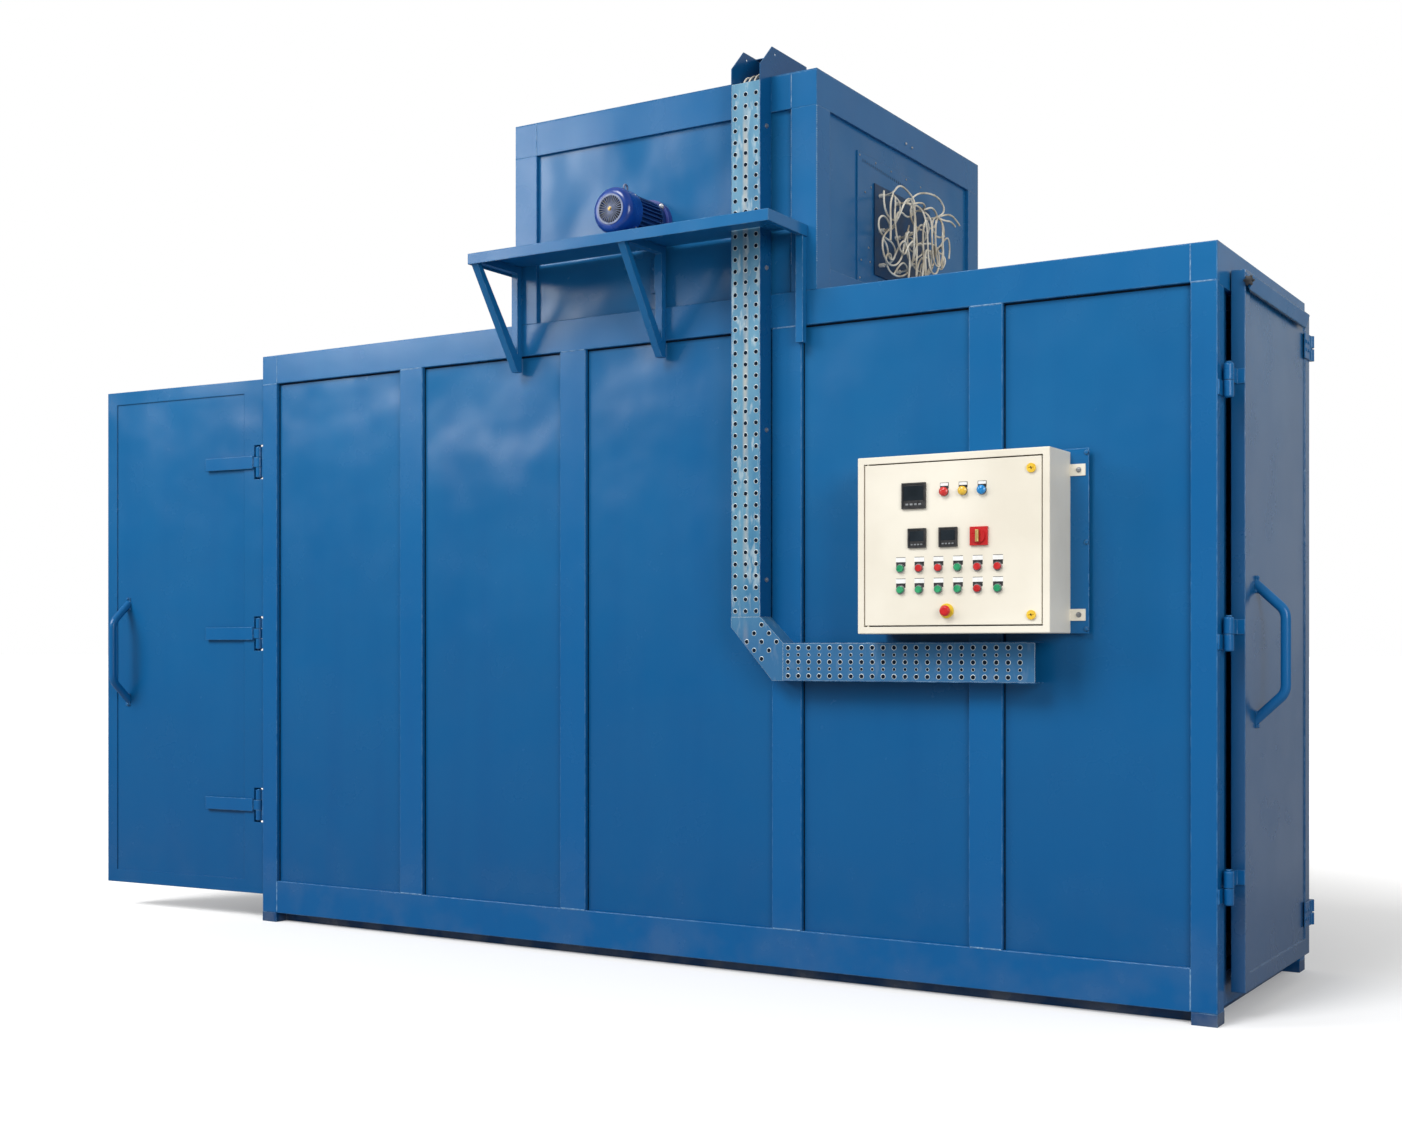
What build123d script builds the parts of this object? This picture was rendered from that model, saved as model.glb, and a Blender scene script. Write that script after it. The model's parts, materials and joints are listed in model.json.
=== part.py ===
from build123d import *
import math
import os

# Powder coating oven: an insulated walk-through chamber on a skid, with a heater and
# fan plenum on its roof, a motor shelf, a cable tray and a control cabinet on its front.
# Millimetres, +X along the length, +Y to the back, +Z up.
# The origin is on the floor, under the middle of the chamber.

# Chamber
LENGTH = 4630.0
DEPTH = 1320.0
HEIGHT = 2750.0
WALL = 100.0
STRIP_PROUD = 20.0
SKID_HEIGHT = 45.0
FOOT_SIDE = 92.0
SKID_SET_IN = 70.0
SKID_BEAM_WIDTH = 80.0
CORNER_STRIP_WIDTH = 95.0
TOP_BAND_HEIGHT = 138.0
BOTTOM_BAND_HEIGHT = 155.0
BATTEN_WIDTH = 135.0
BATTEN_CENTRES = (-1368.0, -454.0, 601.0, 1451.0)
SILL_HEIGHT = 120.0
LINTEL_HEIGHT = 150.0
EDGE_BREAK = 2.0

# Doors
LEAF_THICKNESS = 50.0
LEAF_WIDTH = 990.0
LEFT_LEAF_BOTTOM = 128.0
LEFT_LEAF_BELOW_TOP = 106.0
RIGHT_LEAF_BOTTOM = 100.0
RIGHT_LEAF_BELOW_TOP = 79.0
LEAF_FRAME = 64.0
LEAF_PANEL_RECESS = 5.0
DOOR_GAP = 6.0
DOORWAY_LAP = 40.0
DOOR_REBATE = 22.0
END_POST_FACE = 85.0
RIGHT_LEAF_FROM_FRONT = 157.0
LEFT_OPEN_ANGLE = 93.6
KNUCKLE_RADIUS = 18.0
KNUCKLE_ROUND = 7.0
HINGE_PIN_RADIUS = 9.0
RUNNING_CLEARANCE = 0.08
KNUCKLE_GAP = 1.5
LEAF_TO_KNUCKLE = 6.0
HINGE_PLATE = 6.0
HINGE_PLATE_SET_IN = 2.0
PIN_HEAD = 4.0
PIN_HEAD_LAP = 3.0

# Right door hinges and fittings
RIGHT_KNUCKLE_HEIGHT = 61.0
RIGHT_HINGES_FROM_ENDS = (383.0, 406.0)
RIGHT_AXIS_OUT = 25.0
RIGHT_AXIS_FROM_FRONT = 54.0
RIGHT_HANDLE_FROM_EDGE = 172.0
VISOR_REACH = 29.0
VISOR_DROP = 50.0
VISOR_FOLD = 14.0
VISOR_FLANGE = 14.0
VISOR_BELOW_TOP = 26.0
VISOR_FROM_EDGES = (4.0, 120.0)
VISOR_SHEET = 3.0
LATCHES_FROM_ENDS = (162.0, 136.0)
LATCH_LENGTH = 100.0
LATCH_PLATE_LAP = 92.0
LATCH_BARREL_RADIUS = 12.0
LATCH_BARREL_BEYOND = 20.0
LATCH_BARREL_GAP = 6.0
LATCH_PIN_RADIUS = 5.0

# Left door hinges
LEFT_KNUCKLE_HEIGHT = 48.0
LEFT_HINGES_FROM_ENDS = (433.0, 404.0)
LEFT_AXIS_FROM_FRONT = 22.0
STRAP_LENGTH = 330.0
STRAP_HEIGHT = 62.0
STRAP_THICKNESS = 12.0
COVER_LIP_REACH = 34.0
COVER_LIP_SHEET = 3.0
LIP_NOTCH_MARGIN = 6.0
LEFT_HANDLE_FROM_FREE_EDGE = 139.0

# Door handles
HANDLE_TUBE_RADIUS = 18.5
HANDLE_SPAN = 490.0
HANDLE_STAND_OFF = 105.0
HANDLE_LEG_RISE = 98.0
HANDLE_BEND = 62.0
HANDLE_BOTTOM = 1067.0
HANDLE_FOOT_WIDTH = 30.0
HANDLE_FOOT_HEIGHT = 62.0
HANDLE_FOOT_SHEET = 4.0

# Plenum on the roof
PLENUM_LEFT = -762.5
PLENUM_WIDTH = 1500.0
PLENUM_DEPTH = 1637.0
PLENUM_HEIGHT = 877.0
PLENUM_STRIP = 115.0
PLENUM_PROUD = 15.0
PLENUM_TOP_BAND = 144.0
PLENUM_BOTTOM_BAND = 100.0
PLENUM_ROOF_SHEET = 4.0

# Terminal plate and heater wires on the plenum's right side
TERMINAL_PLATE_FRONT = -280.0
TERMINAL_PLATE_WIDTH = 790.0
TERMINAL_PLATE_HEIGHT = 545.0
TERMINAL_PLATE_SHEET = 6.0
TERMINAL_BOARD_SET_IN = (150.0, 55.0)
TERMINAL_BOARD_WIDTH = 560.0
TERMINAL_BOARD_HEIGHT = 385.0
TERMINAL_BOARD_SHEET = 6.0
TERMINAL_COLUMNS = 4
TERMINAL_ROWS = 3
TERMINAL_MARGIN = 45.0
TERMINAL_RADIUS = 9.0
TERMINAL_LENGTH = 22.0
WIRE_HANK_OUTLINE = (
    (-245.0, 320.0), (-225.0, 480.0), (-60.0, 525.0), (120.0, 575.0), (380.0, 585.0), (605.0, 550.0),
    (600.0, 480.0), (480.0, 370.0), (320.0, 235.0), (130.0, 140.0), (-120.0, 130.0), (-235.0, 205.0))
WIRE_HANK_ROUND = 25.0
WIRE_HANK_THICKNESS = 95.0
SEAT_GAP = 0.3

# Motor shelf
SHELF_LEFT = -772.0
SHELF_WIDTH = 1469.0
SHELF_ABOVE_ROOF = 257.0
SHELF_DEPTH = 320.0
SHELF_SHEET = 5.0
SHELF_LIP = 45.0
SHELF_TRAY_GAP = 6.0
BRACKET_BAR = 32.0
BRACED_BRACKETS = (-744.0, 10.0)
PLAIN_BRACKET = 675.0
BRACKET_BELOW_ROOF = 210.0
CLEAT_WIDTH = 44.0
CLEAT_HEIGHT = 144.0
CLEAT_SHEET = 6.0
CLEAT_BELOW_DECK = 46.0

# Motor, its axis along Y
MOTOR_X = -50.0
MOTOR_CENTRE_HEIGHT = 100.0
MOTOR_FRONT = 297.0
COWL_RADIUS = 95.0
COWL_DEPTH = 96.0
COWL_SHEET = 3.0
COWL_ROUND = 32.0
COWL_WINDOW_RADIUS = 57.0
GRILLE_RADIUS = 62.0
GRILLE_RING = 7.0
GRILLE_HUB = 13.0
GRILLE_HUB_PROUD = 3.0
GRILLE_SPOKES = 30
GRILLE_SPOKE_WIDTH = 2.2
GRILLE_SHEET = 2.5
MOTOR_CORE_RADIUS = 74.0
MOTOR_FIN_RADIUS = 88.0
MOTOR_FIN_COUNT = 30
MOTOR_FIN_THICKNESS = 4.0
FLANGE_RADIUS = 98.0
FLANGE_THICKNESS = 14.0
END_BELL_LENGTH = 26.0
SHAFT_RADIUS = 12.0
SHAFT_INSERT = 20.0
FAN_RADIUS = 78.0
FAN_HUB_RADIUS = 24.0
FAN_WIDTH = 34.0
FAN_BLADES = 7
FAN_BLADE_THICKNESS = 4.0
FAN_TO_GRILLE = 12.0
EYE_RING_RADIUS = 13.0
EYE_WIRE_RADIUS = 4.0
EYE_BOSS_RADIUS = 10.0
EYE_BOSS_RISE = 4.0
EYE_COLLAR = 6.0
FOOT_THICKNESS = 8.0
MOTOR_FOOT_INNER = 42.0
MOTOR_FOOT_OUTER = 80.0

# Cable tray
TRAY_LEFT = 396.0
TRAY_WIDTH = 135.0
TRAY_DEPTH = 90.0
TRAY_SHEET = 3.0
TRAY_WEB_BELOW_PLENUM_TOP = 37.0
TRAY_RUN_TOP = 1348.0
TRAY_RUN_HEIGHT = 151.0
TRAY_RUN_END = 1680.0
TRAY_ELBOW_RISE = 103.0
ELBOW_OUTER_DROP = 40.0
ELBOW_OUTER_REACH = 190.0
EAR_ABOVE_PLENUM = 27.0
EAR_RISE = 96.0
EAR_HOLE_RADIUS = 5.0
EAR_HOLE_DROP = 26.0
OVERHEAD_REACH = 300.0
OVERHEAD_MOUTH = 100.0
PERFORATION_RADIUS = 5.2
SMALL_PERFORATION_RADIUS = 3.8
UPRIGHT_PITCH = (48.0, 47.0)
LEVEL_PITCH = (46.0, 27.5)
TOP_CABLE_RADIUS = 4.0
TOP_CABLE_COUNT = 4

# Control cabinet
CABINET_LEFT = 1026.0
CABINET_WIDTH = 758.0
CABINET_BOTTOM = 1379.0
CABINET_HEIGHT = 662.0
CABINET_DEPTH = 211.0
CABINET_SHEET = 3.0
CABINET_ROUND = 4.0
CABINET_FRAME = 26.0
CABINET_FRAME_DEPTH = 20.0
CABINET_DOOR_GAP = 5.0
CABINET_DOOR_THICKNESS = 16.0
CABINET_DOOR_ROUND = 2.0
CABINET_PIN_RADIUS = 4.0
CABINET_PIN_FROM_EDGE = 10.0
CABINET_PIN_INSERT = 14.0
BACKING_PLATE_SHEET = 6.0
BACKING_PLATE_SIDE = 70.0
BACKING_PLATE_TOP = 11.0
TAB_HEIGHT = 43.0
TAB_REACH = 58.0
TAB_SHEET = 4.0
TAB_FROM_END = 46.0

# Instruments on the cabinet door: centres as x and z from the cabinet's lower left corner
BIG_CONTROLLER = (233.0, 510.0)
BIG_CONTROLLER_SIDE = 96.0
SMALL_CONTROLLERS = ((246.0, 353.0), (370.0, 353.0))
SMALL_CONTROLLER_SIDE = 72.0
CONTROLLER_PROUD = 9.0
CONTROLLER_RIM = 6.0
CONTROLLER_RECESS = 2.5
LAMPS = ((354.0, 520.0), (428.0, 520.0), (502.0, 520.0))
LAMP_RADIUS = 13.0
LAMP_DOME = 6.0
BUTTON_COLUMNS = (179.0, 254.0, 331.0, 408.0, 485.0, 563.0)
BUTTON_ROWS = (242.0, 163.0)
GREEN_BUTTONS = ((0, 0), (3, 0), (0, 1), (1, 1), (2, 1), (3, 1), (5, 1))
BUTTON_RADIUS = 13.0
BEZEL_RADIUS = 17.0
BEZEL_HEIGHT = 6.0
BUTTON_PROUD = 8.0
BUTTON_EDGE = 1.5
LABEL_WIDTH = 40.0
LABEL_HEIGHT = 16.0
LABEL_SHEET = 1.5
LABEL_RISE = 32.0
ISOLATOR = (491.0, 353.0)
ISOLATOR_SIDE = 68.0
ISOLATOR_DIAL_RADIUS = 26.0
ISOLATOR_DIAL_PROUD = 5.0
ISOLATOR_GRIP = (11.0, 44.0)
ISOLATOR_GRIP_PROUD = 15.0
STOP = (364.0, 83.0)
STOP_RADIUS = 20.0
STOP_COLLAR_RADIUS = 27.0
STOP_COLLAR_PROUD = 5.0
STOP_STEM_RADIUS = 11.0
STOP_STEM_LENGTH = 12.0
STOP_CAP_HEIGHT = 13.0
STOP_CAP_ROUND = 9.0
LOCKS = ((690.0, 65.0), (690.0, 589.0))
LOCK_RADIUS = 17.0
LOCK_PROUD = 7.0
LOCK_SLOT = (5.0, 20.0)
LOCK_SLOT_DEPTH = 3.0

# Places worked out from the sizes above
RIGHT = LENGTH / 2
LEFT = -LENGTH / 2
FRONT = -DEPTH / 2
BACK = DEPTH / 2
PANEL_FRONT = FRONT + STRIP_PROUD
PANEL_BACK = BACK - STRIP_PROUD
INSIDE_FRONT = PANEL_FRONT + WALL
INSIDE_BACK = PANEL_BACK - WALL
ROOF_BOTTOM = HEIGHT - WALL
SILL_TOP = SKID_HEIGHT + SILL_HEIGHT
LINTEL_BOTTOM = HEIGHT - LINTEL_HEIGHT
TOP_BAND_BOTTOM = HEIGHT - TOP_BAND_HEIGHT
BOTTOM_BAND_TOP = SKID_HEIGHT + BOTTOM_BAND_HEIGHT
PLENUM_RIGHT = PLENUM_LEFT + PLENUM_WIDTH
PLENUM_BACK = FRONT + PLENUM_DEPTH
PLENUM_TOP = HEIGHT + PLENUM_HEIGHT
TERMINAL_PLATE_BOTTOM = HEIGHT + PLENUM_BOTTOM_BAND
TERMINAL_FACE = PLENUM_RIGHT - PLENUM_PROUD + TERMINAL_PLATE_SHEET
TERMINAL_BOARD_FACE = TERMINAL_FACE + TERMINAL_BOARD_SHEET
TERMINAL_BOARD_FRONT = TERMINAL_PLATE_FRONT + TERMINAL_BOARD_SET_IN[0]
TERMINAL_BOARD_BOTTOM = TERMINAL_PLATE_BOTTOM + TERMINAL_BOARD_SET_IN[1]
TRAY_RIGHT = TRAY_LEFT + TRAY_WIDTH
TRAY_FRONT = FRONT - TRAY_DEPTH
TRAY_WEB_TOP = PLENUM_TOP - TRAY_WEB_BELOW_PLENUM_TOP
TRAY_RUN_BOTTOM = TRAY_RUN_TOP - TRAY_RUN_HEIGHT
TRAY_UPRIGHT_BOTTOM = TRAY_RUN_TOP + TRAY_ELBOW_RISE
TRAY_RUN_START = TRAY_RIGHT + TRAY_ELBOW_RISE
EAR_BASE = PLENUM_TOP + EAR_ABOVE_PLENUM
OVERHEAD_TOP = EAR_BASE + EAR_RISE
OVERHEAD_END = FRONT + OVERHEAD_REACH
RIGHT_LEAF_FACE = RIGHT + DOOR_GAP + LEAF_THICKNESS
RIGHT_LEAF_NEAR = FRONT + RIGHT_LEAF_FROM_FRONT
RIGHT_LEAF_FAR = RIGHT_LEAF_NEAR + LEAF_WIDTH
RIGHT_LEAF_TOP = HEIGHT - RIGHT_LEAF_BELOW_TOP
LEFT_LEAF_TOP = HEIGHT - LEFT_LEAF_BELOW_TOP
RIGHT_AXIS = (RIGHT + RIGHT_AXIS_OUT, FRONT + RIGHT_AXIS_FROM_FRONT)
LEFT_LEAF_FACE = LEFT - DOOR_GAP - LEAF_THICKNESS
LEFT_AXIS = (LEFT_LEAF_FACE - HINGE_PLATE + KNUCKLE_RADIUS, FRONT + LEFT_AXIS_FROM_FRONT)
LEFT_LEAF_NEAR = LEFT_AXIS[1] + KNUCKLE_RADIUS + LEAF_TO_KNUCKLE
LEFT_LEAF_FAR = LEFT_LEAF_NEAR + LEAF_WIDTH
LEFT_DOORWAY = (max(LEFT_LEAF_NEAR + DOORWAY_LAP, INSIDE_FRONT), LEFT_LEAF_FAR - DOORWAY_LAP)
RIGHT_DOORWAY = (RIGHT_LEAF_NEAR + DOORWAY_LAP, RIGHT_LEAF_FAR - DOORWAY_LAP)
END_FRAMES = (((LEFT, LEFT + WALL), LEFT_DOORWAY), ((RIGHT - WALL, RIGHT), RIGHT_DOORWAY))
REBATE_Y = (FRONT + END_POST_FACE, BACK - END_POST_FACE)
WALL_FACES = ((FRONT, PANEL_FRONT), (PANEL_BACK, BACK))
SHELF_TOP = HEIGHT + SHELF_ABOVE_ROOF
MOTOR_Z = SHELF_TOP + MOTOR_CENTRE_HEIGHT
COWL_FRONT = FRONT - MOTOR_FRONT
COWL_BACK = COWL_FRONT + COWL_DEPTH
EYE_BOSS_TOP = MOTOR_Z + MOTOR_FIN_RADIUS + EYE_BOSS_RISE
EYE_BOSS_Y = COWL_BACK + EYE_BOSS_RADIUS + EYE_BOSS_RISE
BACKING_FRONT = FRONT - BACKING_PLATE_SHEET
CABINET_FRONT = BACKING_FRONT - CABINET_DEPTH
CABINET_RIGHT = CABINET_LEFT + CABINET_WIDTH
CABINET_TOP = CABINET_BOTTOM + CABINET_HEIGHT
CABINET_DOOR_LEFT = CABINET_LEFT + CABINET_FRAME + CABINET_DOOR_GAP
CABINET_DOOR_RIGHT = CABINET_RIGHT - CABINET_FRAME - CABINET_DOOR_GAP
CABINET_DOOR_BOTTOM = CABINET_BOTTOM + CABINET_FRAME + CABINET_DOOR_GAP
CABINET_DOOR_TOP = CABINET_TOP - CABINET_FRAME - CABINET_DOOR_GAP
CABINET_AXIS = (CABINET_DOOR_LEFT + CABINET_PIN_FROM_EDGE, CABINET_FRONT + CABINET_DOOR_THICKNESS / 2)


def block(x, y, z):
    """A box between two corners, each argument a (low, high) pair."""
    size = (x[1] - x[0], y[1] - y[0], z[1] - z[0])
    middle = ((x[0] + x[1]) / 2, (y[0] + y[1]) / 2, (z[0] + z[1]) / 2)
    return Pos(*middle) * Box(*size)


def upright(centre, radius, z):
    """A vertical cylinder on a plan point."""
    return Pos(centre[0], centre[1], (z[0] + z[1]) / 2) * Cylinder(radius, z[1] - z[0])


def along_y(x, z, radius, y):
    """A cylinder whose axis runs from front to back."""
    return Pos(x, (y[0] + y[1]) / 2, z) * Rot(90, 0, 0) * Cylinder(radius, y[1] - y[0])


def profile_xz(points, y):
    """A plate outline drawn in the front view and given thickness along Y."""
    face = Plane.XZ * make_face(Polyline(*points, close=True))
    return Pos(0, y[1], 0) * extrude(face, y[1] - y[0])


def profile_yz(points, x):
    """A plate outline drawn in the side view and given thickness along X."""
    face = Plane.YZ * make_face(Polyline(*points, close=True))
    return Pos(x[0], 0, 0) * extrude(face, x[1] - x[0])


def swing(shape, axis, angle):
    """Turn a shape about a vertical axis given by its plan point."""
    return Pos(axis[0], axis[1], 0) * Rot(0, 0, angle) * Pos(-axis[0], -axis[1], 0) * shape


def beside(shapes):
    """Like pieces that share a node without touching."""
    return Compound(children=list(shapes))


def rounded(shape, radius, axis, side):
    """Round the outermost edges of a shape on one side of an axis."""
    return fillet(shape.edges().group_by(axis)[side], radius)


# Skid and chamber

def base_frame():
    z = (0, SKID_HEIGHT)
    beam_front = FRONT + SKID_SET_IN
    beam_back = BACK - SKID_SET_IN
    half = SKID_BEAM_WIDTH / 2
    ends = RIGHT - SKID_SET_IN
    frame = block((-ends, ends), (beam_front, beam_front + SKID_BEAM_WIDTH), z)
    frame += block((-ends, ends), (beam_back - SKID_BEAM_WIDTH, beam_back), z)
    for x in (-ends + half, -ends / 2, 0, ends / 2, ends - half):
        frame += block((x - half, x + half), (beam_front, beam_back), z)
    for x in ((LEFT, LEFT + FOOT_SIDE), (RIGHT - FOOT_SIDE, RIGHT)):
        for y in ((FRONT, FRONT + FOOT_SIDE), (BACK - FOOT_SIDE, BACK)):
            frame += block(x, y, z)
    return frame


def long_wall(y):
    return block((LEFT + WALL, RIGHT - WALL), y, (SKID_HEIGHT, ROOF_BOTTOM))


def floor_panel():
    return block((LEFT + WALL, RIGHT - WALL), (INSIDE_FRONT, INSIDE_BACK), (SKID_HEIGHT, SKID_HEIGHT + WALL))


def roof_panel():
    return block((LEFT + WALL, RIGHT - WALL), (PANEL_FRONT, PANEL_BACK), (ROOF_BOTTOM, HEIGHT))


def door_rebates():
    """The shallow setbacks in both ends that the leaves close over."""
    z = (SKID_HEIGHT, LINTEL_BOTTOM)
    left = block((LEFT, LEFT + DOOR_REBATE), REBATE_Y, z)
    right = block((RIGHT - DOOR_REBATE, RIGHT), REBATE_Y, z)
    return [left, right]


def door_jambs():
    z = (SKID_HEIGHT, LINTEL_BOTTOM)
    jambs = []
    for (x, doorway), rebate in zip(END_FRAMES, door_rebates()):
        jambs.append(block(x, (PANEL_FRONT, doorway[0]), z) - rebate)
        jambs.append(block(x, (doorway[1], PANEL_BACK), z) - rebate)
    return beside(jambs)


def door_lintels():
    z = (LINTEL_BOTTOM, HEIGHT)
    return beside([block(x, (PANEL_FRONT, PANEL_BACK), z) for x, doorway in END_FRAMES])


def door_sills():
    z = (SKID_HEIGHT, SILL_TOP)
    return beside([
        block(x, doorway, z) - rebate for (x, doorway), rebate in zip(END_FRAMES, door_rebates())
    ])


def cover_strip(x, y, z):
    """A flat cover strip with its long outer edges broken."""
    strip = block(x, y, z)
    outer = y[0] if y[0] < 0 else y[1]
    edges = [e for e in strip.edges() if abs(e.center().Y - outer) < 0.01]
    return chamfer(edges, EDGE_BREAK)


def corner_strips():
    strips = []
    for x in ((LEFT, LEFT + CORNER_STRIP_WIDTH), (RIGHT - CORNER_STRIP_WIDTH, RIGHT)):
        for y in WALL_FACES:
            strips.append(cover_strip(x, y, (SKID_HEIGHT, TOP_BAND_BOTTOM)))
    return beside(strips)


def wall_bands():
    """The level bands along the top and bottom of the front and the back."""
    bands = []
    for y in WALL_FACES:
        bands.append(cover_strip((LEFT, RIGHT), y, (TOP_BAND_BOTTOM, HEIGHT)))
        x = (LEFT + CORNER_STRIP_WIDTH, RIGHT - CORNER_STRIP_WIDTH)
        bands.append(cover_strip(x, y, (SKID_HEIGHT, BOTTOM_BAND_TOP)))
    return beside(bands)


def wall_battens():
    strips = []
    for centre in BATTEN_CENTRES:
        x = (centre - BATTEN_WIDTH / 2, centre + BATTEN_WIDTH / 2)
        for y in WALL_FACES:
            strips.append(cover_strip(x, y, (BOTTOM_BAND_TOP, TOP_BAND_BOTTOM)))
    return beside(strips)


# Plenum

def plenum_casing():
    x = (PLENUM_LEFT + PLENUM_PROUD, PLENUM_RIGHT - PLENUM_PROUD)
    y = (FRONT + PLENUM_PROUD, PLENUM_BACK - PLENUM_PROUD)
    return block(x, y, (HEIGHT, PLENUM_TOP - PLENUM_ROOF_SHEET))


def plenum_corner_posts():
    posts = []
    z = (HEIGHT, PLENUM_TOP - PLENUM_TOP_BAND)
    for x, dx in ((PLENUM_LEFT, 1), (PLENUM_RIGHT, -1)):
        for y, dy in ((FRONT, 1), (PLENUM_BACK, -1)):
            outer = block(
                sorted((x, x + dx * PLENUM_STRIP)), sorted((y, y + dy * PLENUM_STRIP)), z)
            inner = block(
                sorted((x + dx * PLENUM_PROUD, x + dx * 2 * PLENUM_STRIP)),
                sorted((y + dy * PLENUM_PROUD, y + dy * 2 * PLENUM_STRIP)), z)
            posts.append(outer - inner)
    return beside(posts)


def plenum_top_band():
    z = (PLENUM_TOP - PLENUM_TOP_BAND, PLENUM_TOP - PLENUM_ROOF_SHEET)
    outer = block((PLENUM_LEFT, PLENUM_RIGHT), (FRONT, PLENUM_BACK), z)
    x = (PLENUM_LEFT + PLENUM_PROUD, PLENUM_RIGHT - PLENUM_PROUD)
    y = (FRONT + PLENUM_PROUD, PLENUM_BACK - PLENUM_PROUD)
    return outer - block(x, y, z)


def plenum_bottom_bands():
    """Bands along both sides and the back; the front panel runs down to the chamber."""
    z = (HEIGHT, HEIGHT + PLENUM_BOTTOM_BAND)
    side_y = (FRONT + PLENUM_STRIP, PLENUM_BACK - PLENUM_STRIP)
    back_x = (PLENUM_LEFT + PLENUM_STRIP, PLENUM_RIGHT - PLENUM_STRIP)
    return beside([
        block((PLENUM_LEFT, PLENUM_LEFT + PLENUM_PROUD), side_y, z),
        block((PLENUM_RIGHT - PLENUM_PROUD, PLENUM_RIGHT), side_y, z),
        block(back_x, (PLENUM_BACK - PLENUM_PROUD, PLENUM_BACK), z),
    ])


def plenum_roof():
    z = (PLENUM_TOP - PLENUM_ROOF_SHEET, PLENUM_TOP)
    return block((PLENUM_LEFT, PLENUM_RIGHT), (FRONT, PLENUM_BACK), z)


def terminal_plate():
    x = (TERMINAL_FACE - TERMINAL_PLATE_SHEET, TERMINAL_FACE)
    y = (TERMINAL_PLATE_FRONT, TERMINAL_PLATE_FRONT + TERMINAL_PLATE_WIDTH)
    return block(x, y, (TERMINAL_PLATE_BOTTOM, TERMINAL_PLATE_BOTTOM + TERMINAL_PLATE_HEIGHT))


def terminal_board():
    """An insulating board on the plate that carries the terminals."""
    y = (TERMINAL_BOARD_FRONT, TERMINAL_BOARD_FRONT + TERMINAL_BOARD_WIDTH)
    z = (TERMINAL_BOARD_BOTTOM, TERMINAL_BOARD_BOTTOM + TERMINAL_BOARD_HEIGHT)
    return block((TERMINAL_FACE, TERMINAL_BOARD_FACE), y, z)


def heater_terminals():
    """Ceramic terminal bushes in level rows over the whole board."""
    pitch_y = (TERMINAL_BOARD_WIDTH - 2 * TERMINAL_MARGIN) / (TERMINAL_COLUMNS - 1)
    pitch_z = (TERMINAL_BOARD_HEIGHT - 2 * TERMINAL_MARGIN) / (TERMINAL_ROWS - 1)
    bushes = []
    for column in range(TERMINAL_COLUMNS):
        for row in range(TERMINAL_ROWS):
            y = TERMINAL_BOARD_FRONT + TERMINAL_MARGIN + pitch_y * column
            z = TERMINAL_BOARD_BOTTOM + TERMINAL_MARGIN + pitch_z * row
            bush = Rot(0, 90, 0) * Cylinder(TERMINAL_RADIUS, TERMINAL_LENGTH)
            bushes.append(Pos(TERMINAL_BOARD_FACE + TERMINAL_LENGTH / 2, y, z) * bush)
    return beside(bushes)


def heater_wire_bundle():
    """The outer shape of the loose heater wires that hang from the terminals."""
    start = TERMINAL_BOARD_FACE + TERMINAL_LENGTH + SEAT_GAP
    outline = [(y, HEIGHT + above_roof) for y, above_roof in WIRE_HANK_OUTLINE]
    bundle = profile_yz(outline, (start, start + WIRE_HANK_THICKNESS))
    return fillet(bundle.edges().filter_by(Axis.X), WIRE_HANK_ROUND)


# Motor shelf and motor

def motor_shelf():
    x = (SHELF_LEFT, SHELF_LEFT + SHELF_WIDTH)
    y = (FRONT - SHELF_DEPTH, FRONT)
    z = (SHELF_TOP - SHELF_LIP, SHELF_TOP)
    shelf = block(x, y, z)
    inside_x = (x[0] + SHELF_SHEET, x[1] - SHELF_SHEET)
    shelf -= block(inside_x, (y[0] + SHELF_SHEET, y[1]), (z[0], z[1] - SHELF_SHEET))
    notch_x = (TRAY_LEFT - SHELF_TRAY_GAP, TRAY_RIGHT + SHELF_TRAY_GAP)
    shelf -= block(notch_x, (TRAY_FRONT - SHELF_TRAY_GAP, FRONT), z)
    return shelf


def bracket(centre, braced):
    """A leg on the wall and an arm under the deck, with a slanted brace on some."""
    top = SHELF_TOP - SHELF_SHEET
    tip = FRONT - SHELF_DEPTH + SHELF_SHEET
    foot = HEIGHT - BRACKET_BELOW_ROOF
    bar = BRACKET_BAR
    x = (centre - bar / 2, centre + bar / 2)
    frame = block(x, (FRONT - bar, FRONT), (foot, top)) + block(x, (tip, FRONT), (top - bar, top))
    if braced:
        frame += profile_yz(
            [(tip, top - bar), (tip + bar, top - bar), (FRONT, foot + bar), (FRONT, foot), (FRONT - bar, foot)],
            x)
    return frame


def shelf_brackets():
    """Three brackets; the middle one is also held to the casing by an angle cleat."""
    left, middle = [bracket(centre, True) for centre in BRACED_BRACKETS]
    leg_side = BRACED_BRACKETS[1] - BRACKET_BAR / 2
    casing = FRONT + PLENUM_PROUD
    top = SHELF_TOP - CLEAT_BELOW_DECK
    z = (top - CLEAT_HEIGHT, top)
    middle += block((leg_side - CLEAT_SHEET, leg_side), (FRONT - BRACKET_BAR, casing), z)
    middle += block((leg_side - CLEAT_SHEET - CLEAT_WIDTH, leg_side), (casing - CLEAT_SHEET, casing), z)
    return beside([left, middle, bracket(PLAIN_BRACKET, False)])


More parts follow.
